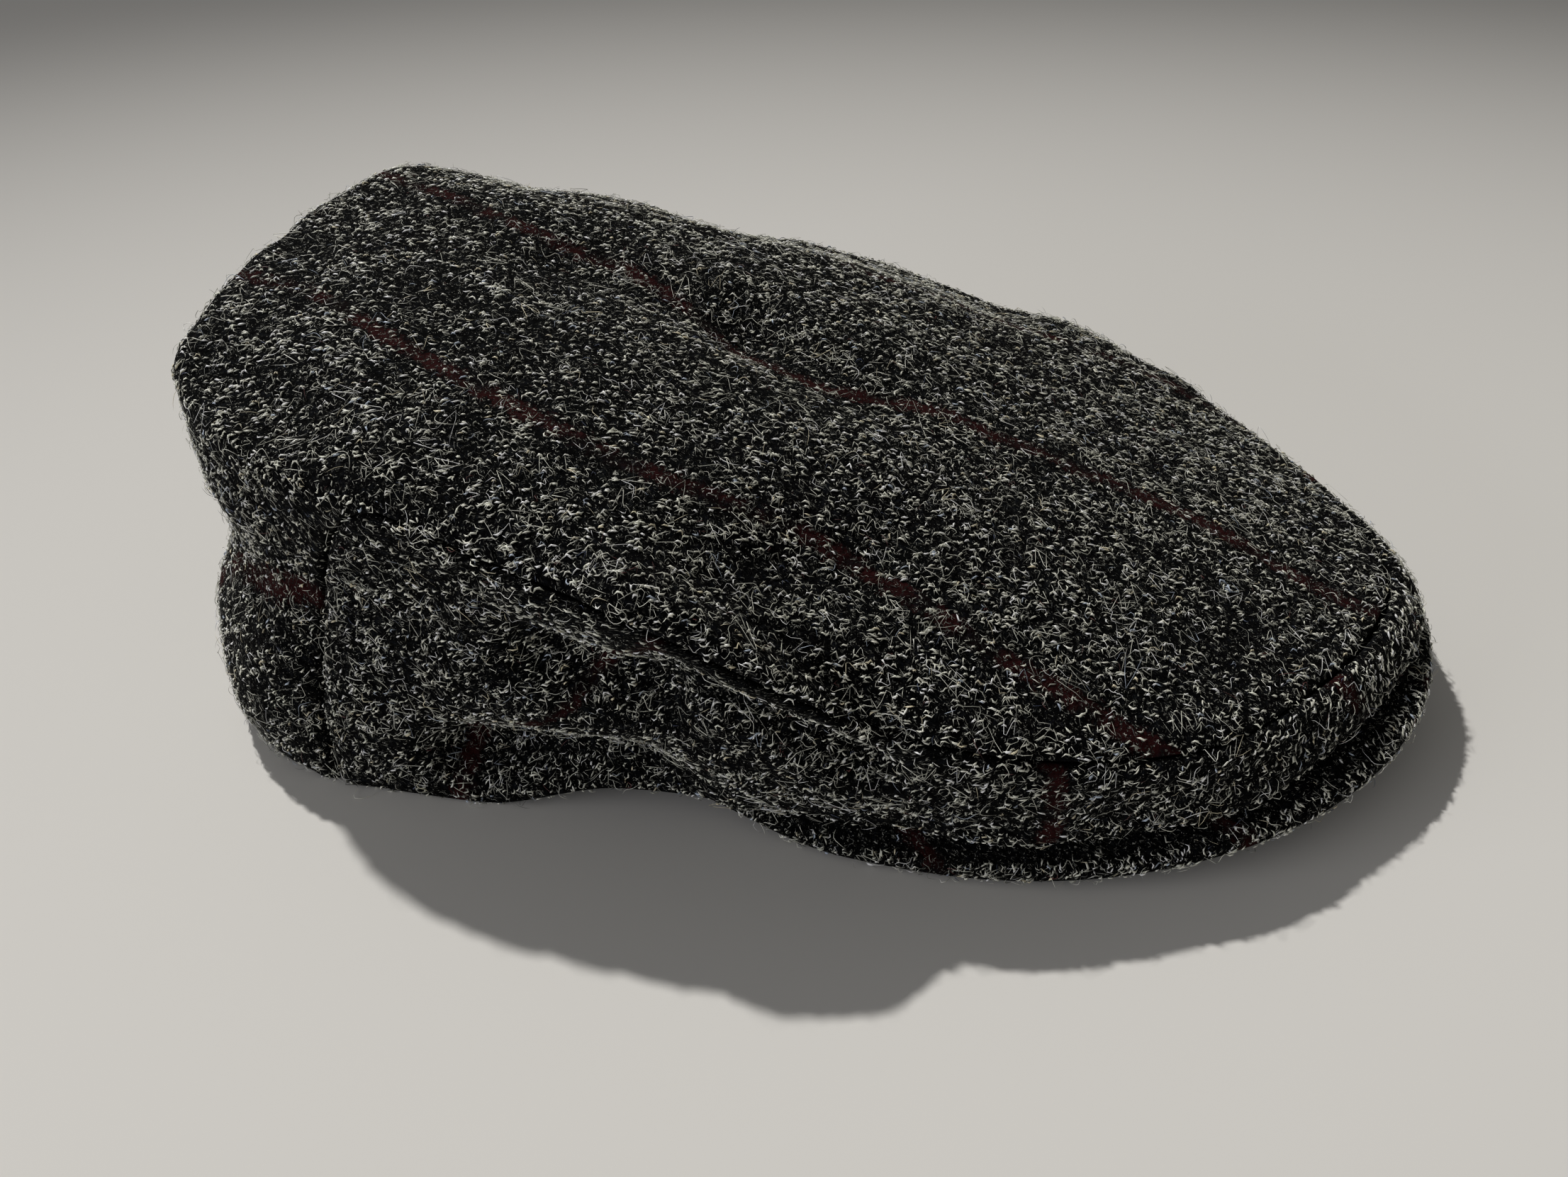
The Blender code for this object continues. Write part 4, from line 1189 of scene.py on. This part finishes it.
def build_crown(tweed, wool):
    """The crown in rings round its middle, with the tail hanging from the back of the first."""
    tail_u, tail_w = wall_grid(lambda at: -seam_line(at), seam_line, TAIL_COLUMNS, False)
    tail_w[-1] = 1
    tail_columns = tail_u.shape[1]
    ring = crown_ring(tail_u)
    inward_w = POLE - np.linspace(0, 1, INWARD_STEPS) * np.ones((len(ring), 1))
    inward = run_along(ring[:, None] * np.ones(INWARD_STEPS), inward_w)
    rings = 1 + spread(inward[:, -1], CROWN_RINGS, HALF_GAP, 0, crowd_end=False).T[:-1]
    rings[0, :tail_columns] = 1
    cloth = Cloth()
    ring_u = np.tile(ring, (len(rings), 1))
    crown = cloth.add(ring_u, rings)
    cloth.skin(crown, closed=True)
    any_u = 0.25             # they all meet in the crown's middle
    middle = cloth.add(np.array([any_u]), np.array([POLE]))[0]
    cloth.fan(crown[-1], middle)
    drop = cloth.add(tail_u[:-1], tail_w[:-1])
    cloth.skin(np.vstack([drop, crown[0][None, :tail_columns]]))

    # how far each point lies from the crown's middle: over the rings, then on down the tail
    out_u = np.vstack([ring_u, ring_u[:1]])[::-1]
    out_w = np.vstack([rings, np.full((1, len(ring)), POLE)])[::-1]
    outward = run_along(out_u.T, out_w.T).T
    down = run_along(tail_u[::-1].T, tail_w[::-1].T).T + outward[-1, :tail_columns]
    reach = np.concatenate([outward[:0:-1].ravel(), [0], down[:0:-1].ravel()])
    x, y = unfold_crown(cloth.u, reach)
    coordinates = np.stack([x, y, crown_lines(x, y)], 1)
    piece, outer, kept, free = build_shell("crown_tweed", cloth, coordinates, tweed)
    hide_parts("crown_top")
    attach(piece, "root")
    # painted shade: the crown gets fewer pale fibres at the top of its back
    dress("crown", outer, kept, coordinates, free, WOOL_SEEDS["crown"], wool, CROWN_GRAIN,
          thinning=CROWN_BACK_SHADE)


PEAK_LINE_AT = -69 * MM      # how far to the side a red line crosses the peak's edge
PEAK_WOOL_FROM = 0.87        # painted shade: the peak's top is bare, darkening the groove; wool lies from this share of the peak's reach and width outwards, and round the edge until its normal points down by more than this
PEAK_WOOL_DOWN = -0.5        # and round the edge until its normal points down by more than this
WOOL_BELOW = 0.25            # share of the wool that lies all over the underside
BELOW_SEED = 51
BAND_AT_SIDES = 0.6          # on top it ends this far in from the edge, in SEAM_FREE: under the
BAND_IN_FRONT = 1.5          # hem, and a little further in at the front


def peak_plan():
    """Outer and inner edge of the peak seen from above, the run along the outer one, and how much
    each place is inside the horns' ends, 0 to 1."""
    widest = peak_widest()
    turn = np.linspace(-CORNER_TURN, CORNER_TURN, PEAK_COLUMNS + 1)
    power = 2 / PEAK_SQUARENESS
    out_x = np.sign(np.cos(turn)) * np.abs(np.cos(turn)) ** power
    out_x = widest + (peak_tip() - widest + PEAK_COVER) * out_x
    out_y = np.sign(np.sin(turn)) * np.abs(np.sin(turn)) ** power * (PEAK_WIDTH / 2 + PEAK_COVER)
    arc = np.hypot(np.diff(out_x, prepend=out_x[0]), np.diff(out_y, prepend=out_y[0])).cumsum()
    inside = smoothstep((CORNER_TURN - np.abs(turn)) / HORN_FADE)
    out_y = out_y - np.sign(out_y) * HORN_TUCK * (1 - inside)
    bend = turn / turn[-1] * math.pi / 2
    in_x = out_x[0] + (peak_tip() - PEAK_DEPTH - out_x[0]) * np.cos(bend)
    in_y = (abs(out_y[0]) - HORN_WIDTH) * np.sin(bend)
    ahead = np.abs(turn) < math.pi / 2
    crossing = np.interp(PEAK_LINE_AT, out_y[ahead], arc[ahead])
    return np.stack([out_x, out_y], 1), np.stack([in_x, in_y], 1), arc, arc - crossing, inside


def peak_sections(outline, inner, inside):
    """Rows of points round each section of the peak: over the top, round the outer edge and back
    below."""
    run = outline - inner
    length = np.linalg.norm(run, axis=1, keepdims=True)
    run /= length
    thick = (PEAK_THICKNESS * (HORN_THIN + (1 - HORN_THIN) * inside))[:, None]
    half = thick / 2
    shares = np.linspace(0, 1, PEAK_ROWS + 1) ** PEAK_CROWDING
    flat = inner[:, None] + run[:, None] * ((length - half)[:, None] * shares[None, :, None])
    top_z = peak_top(flat[..., 0], flat[..., 1])
    top = np.concatenate([flat, top_z[..., None]], -1)
    bottom = np.concatenate([flat, (top_z - thick)[..., None]], -1)[:, ::-1]
    angles = np.radians(np.linspace(90, -90, EDGE_POINTS + 2)[1:-1])
    edge_flat = flat[:, -1:] + run[:, None] * (half * np.cos(angles))[..., None]
    edge_z = top_z[:, -1:] - half + half * np.sin(angles)
    edge = np.concatenate([edge_flat, edge_z[..., None]], -1)
    return np.concatenate([top, edge, bottom], 1)


def peak_wool_test():
    """A test of where the peak's wool lies: on the edge and a band beside it, and a few fibres
    underneath. The peak's top inside the band stays bare as painted shade in the groove."""
    chance = np.random.default_rng(BELOW_SEED)
    widest = peak_widest()

    def shows(point, normal):
        x, y = (point - cap_origin())[:, :2].T
        beyond = np.hypot(np.maximum(x - widest, 0) / (peak_tip() - widest), y / (PEAK_WIDTH / 2))
        in_band = (beyond > PEAK_WOOL_FROM) & (normal[:, 2] > PEAK_WOOL_DOWN)
        return in_band | ((normal[:, 2] < 0) & (chance.random(len(x)) < WOOL_BELOW))

    return shows


def build_peak(tweed, wool):
    """A stiff board with tweed drawn over it: a crescent with a round outer edge."""
    outline, inner, arc, from_line, inside = peak_plan()
    points = peak_sections(outline, inner, inside)
    rows, size = points.shape[:2]
    grid = np.arange(rows * size).reshape(rows, size)
    after = np.roll(grid, -1, 1)
    quads = np.stack([grid[:-1], after[:-1], after[1:], grid[1:]], -1).reshape(-1, 4)
    faces = [tuple(quad) for quad in quads.tolist()]
    ends = [tuple(grid[0, ::-1].tolist()), tuple(grid[-1].tolist())]
    across = np.linalg.norm(np.diff(points, axis=1, prepend=points[:, :1]), axis=-1).cumsum(1)
    along = np.broadcast_to(arc[:, None], across.shape)
    lines = np.broadcast_to(from_line[:, None], across.shape)
    coordinates = np.stack([along, across, lines], -1).reshape(-1, 3)
    placed = points.reshape(-1, 3) + cap_origin()
    piece = new_mesh("peak_tweed_cover", placed, faces + ends, tweed)
    keep(piece.data, "cloth", coordinates)
    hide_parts("peak")
    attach(piece, "root")
    # painted shade: the peak's top inside the band stays bare of pale wool, darkening the groove
    inwards = across[:, PEAK_ROWS, None] - across
    band = BAND_AT_SIDES + (BAND_IN_FRONT - BAND_AT_SIDES) * in_front(points[..., 0])
    free = (SEAM_FREE * band - inwards).ravel()
    dress("peak", placed, faces, coordinates, free, WOOL_SEEDS["peak"], wool, PANEL_GRAIN,
          peak_wool_test())


FLOOR_SIZE = 4.0             # metres


def build_floor():
    """Smooth cream paper, which gives the light back evenly."""
    material, _, _ = new_material(
        "smooth_cream_paper", Roughness=0.85, Metallic=0.0, Specular_IOR_Level=0.2,
        Base_Color="#e2e0dc")
    bpy.ops.mesh.primitive_plane_add(size=FLOOR_SIZE)
    floor = bpy.context.object
    floor.name = "floor"
    floor.data.materials.append(material)


CAMERA_AZIMUTH = math.radians(12.7)
CAMERA_ELEVATION = math.radians(37.8)
CAMERA_DISTANCE = 295 * MM
CAMERA_LENS = 31.5           # in mm, as is the sensor's width
CAMERA_SENSOR = 36
CAMERA_TARGET = Vector((-3.5, -46.5, 40)) * MM


def around_point(target, azimuth, elevation, distance):
    back = Vector((math.sin(azimuth) * math.cos(elevation),
                   -math.cos(azimuth) * math.cos(elevation), math.sin(elevation)))
    return target + back * distance


def look_at(item, target):
    item.rotation_euler = (target - item.location).to_track_quat("-Z", "Y").to_euler()


def build_camera():
    data = bpy.data.cameras.new("camera")
    data.lens = CAMERA_LENS
    data.sensor_width = CAMERA_SENSOR
    data.clip_start = 10 * MM
    camera = into_scene("camera", data)
    camera.location = around_point(CAMERA_TARGET, CAMERA_AZIMUTH, CAMERA_ELEVATION, CAMERA_DISTANCE)
    look_at(camera, CAMERA_TARGET)
    bpy.context.scene.camera = camera


# Distances and sizes in metres, power in watts
KEY_AZIMUTH = math.radians(230)
KEY_ELEVATION = math.radians(54)
KEY_DISTANCE = 3.5
KEY_AIM = Vector((0.42, -0.56, 0))
KEY_POWER = 380
KEY_RADIUS = 0.06
KEY_CONE = math.radians(38)
FILL_AZIMUTH = math.radians(-50)
FILL_ELEVATION = math.radians(12)
FILL_DISTANCE = 3.0          # beyond the floor's edge, which its lower side would cut
FILL_SIZE = (2.2, 1.1)
FILL_POWER = 28
ROOM_BRIGHTNESS = 0.185


def build_light():
    """A key light from behind, a large weak one from the front and an even pale surrounding."""
    middle = Vector((0, 0, 0))
    data = bpy.data.lights.new("key", "SPOT")
    data.energy = KEY_POWER
    data.shadow_soft_size = KEY_RADIUS
    data.spot_size = KEY_CONE
    data.spot_blend = 1.0
    data.color = linear("#fffdf9")[:3]
    key = into_scene("key", data)
    key.location = around_point(middle, KEY_AZIMUTH, KEY_ELEVATION, KEY_DISTANCE)
    look_at(key, KEY_AIM)
    data = bpy.data.lights.new("fill", "AREA")
    data.shape = "RECTANGLE"
    data.size, data.size_y = FILL_SIZE
    data.energy = FILL_POWER
    data.color = linear("#f7f8ff")[:3]
    fill = into_scene("fill", data)
    fill.location = around_point(middle, FILL_AZIMUTH, FILL_ELEVATION, FILL_DISTANCE)
    look_at(fill, middle)
    world = bpy.data.worlds.new("pale room")
    bpy.context.scene.world = world
    world.use_nodes = True
    background = world.node_tree.nodes["Background"]
    background.inputs["Color"].default_value = linear("#e9e7e3")
    background.inputs["Strength"].default_value = ROOM_BRIGHTNESS
    bpy.context.scene.view_settings.view_transform = "Standard"


def main():
    build_camera()
    build_light()
    build_floor()
    tweed = woven_wool_tweed("charcoal woven wool tweed")
    wool = carded_wool_fibre("carded wool fibres")
    build_crown(tweed, wool)
    build_side_panel("side_panel_right", -1, tweed, wool)
    build_side_panel("side_panel_left", 1, tweed, wool)
    build_peak(tweed, wool)


main()
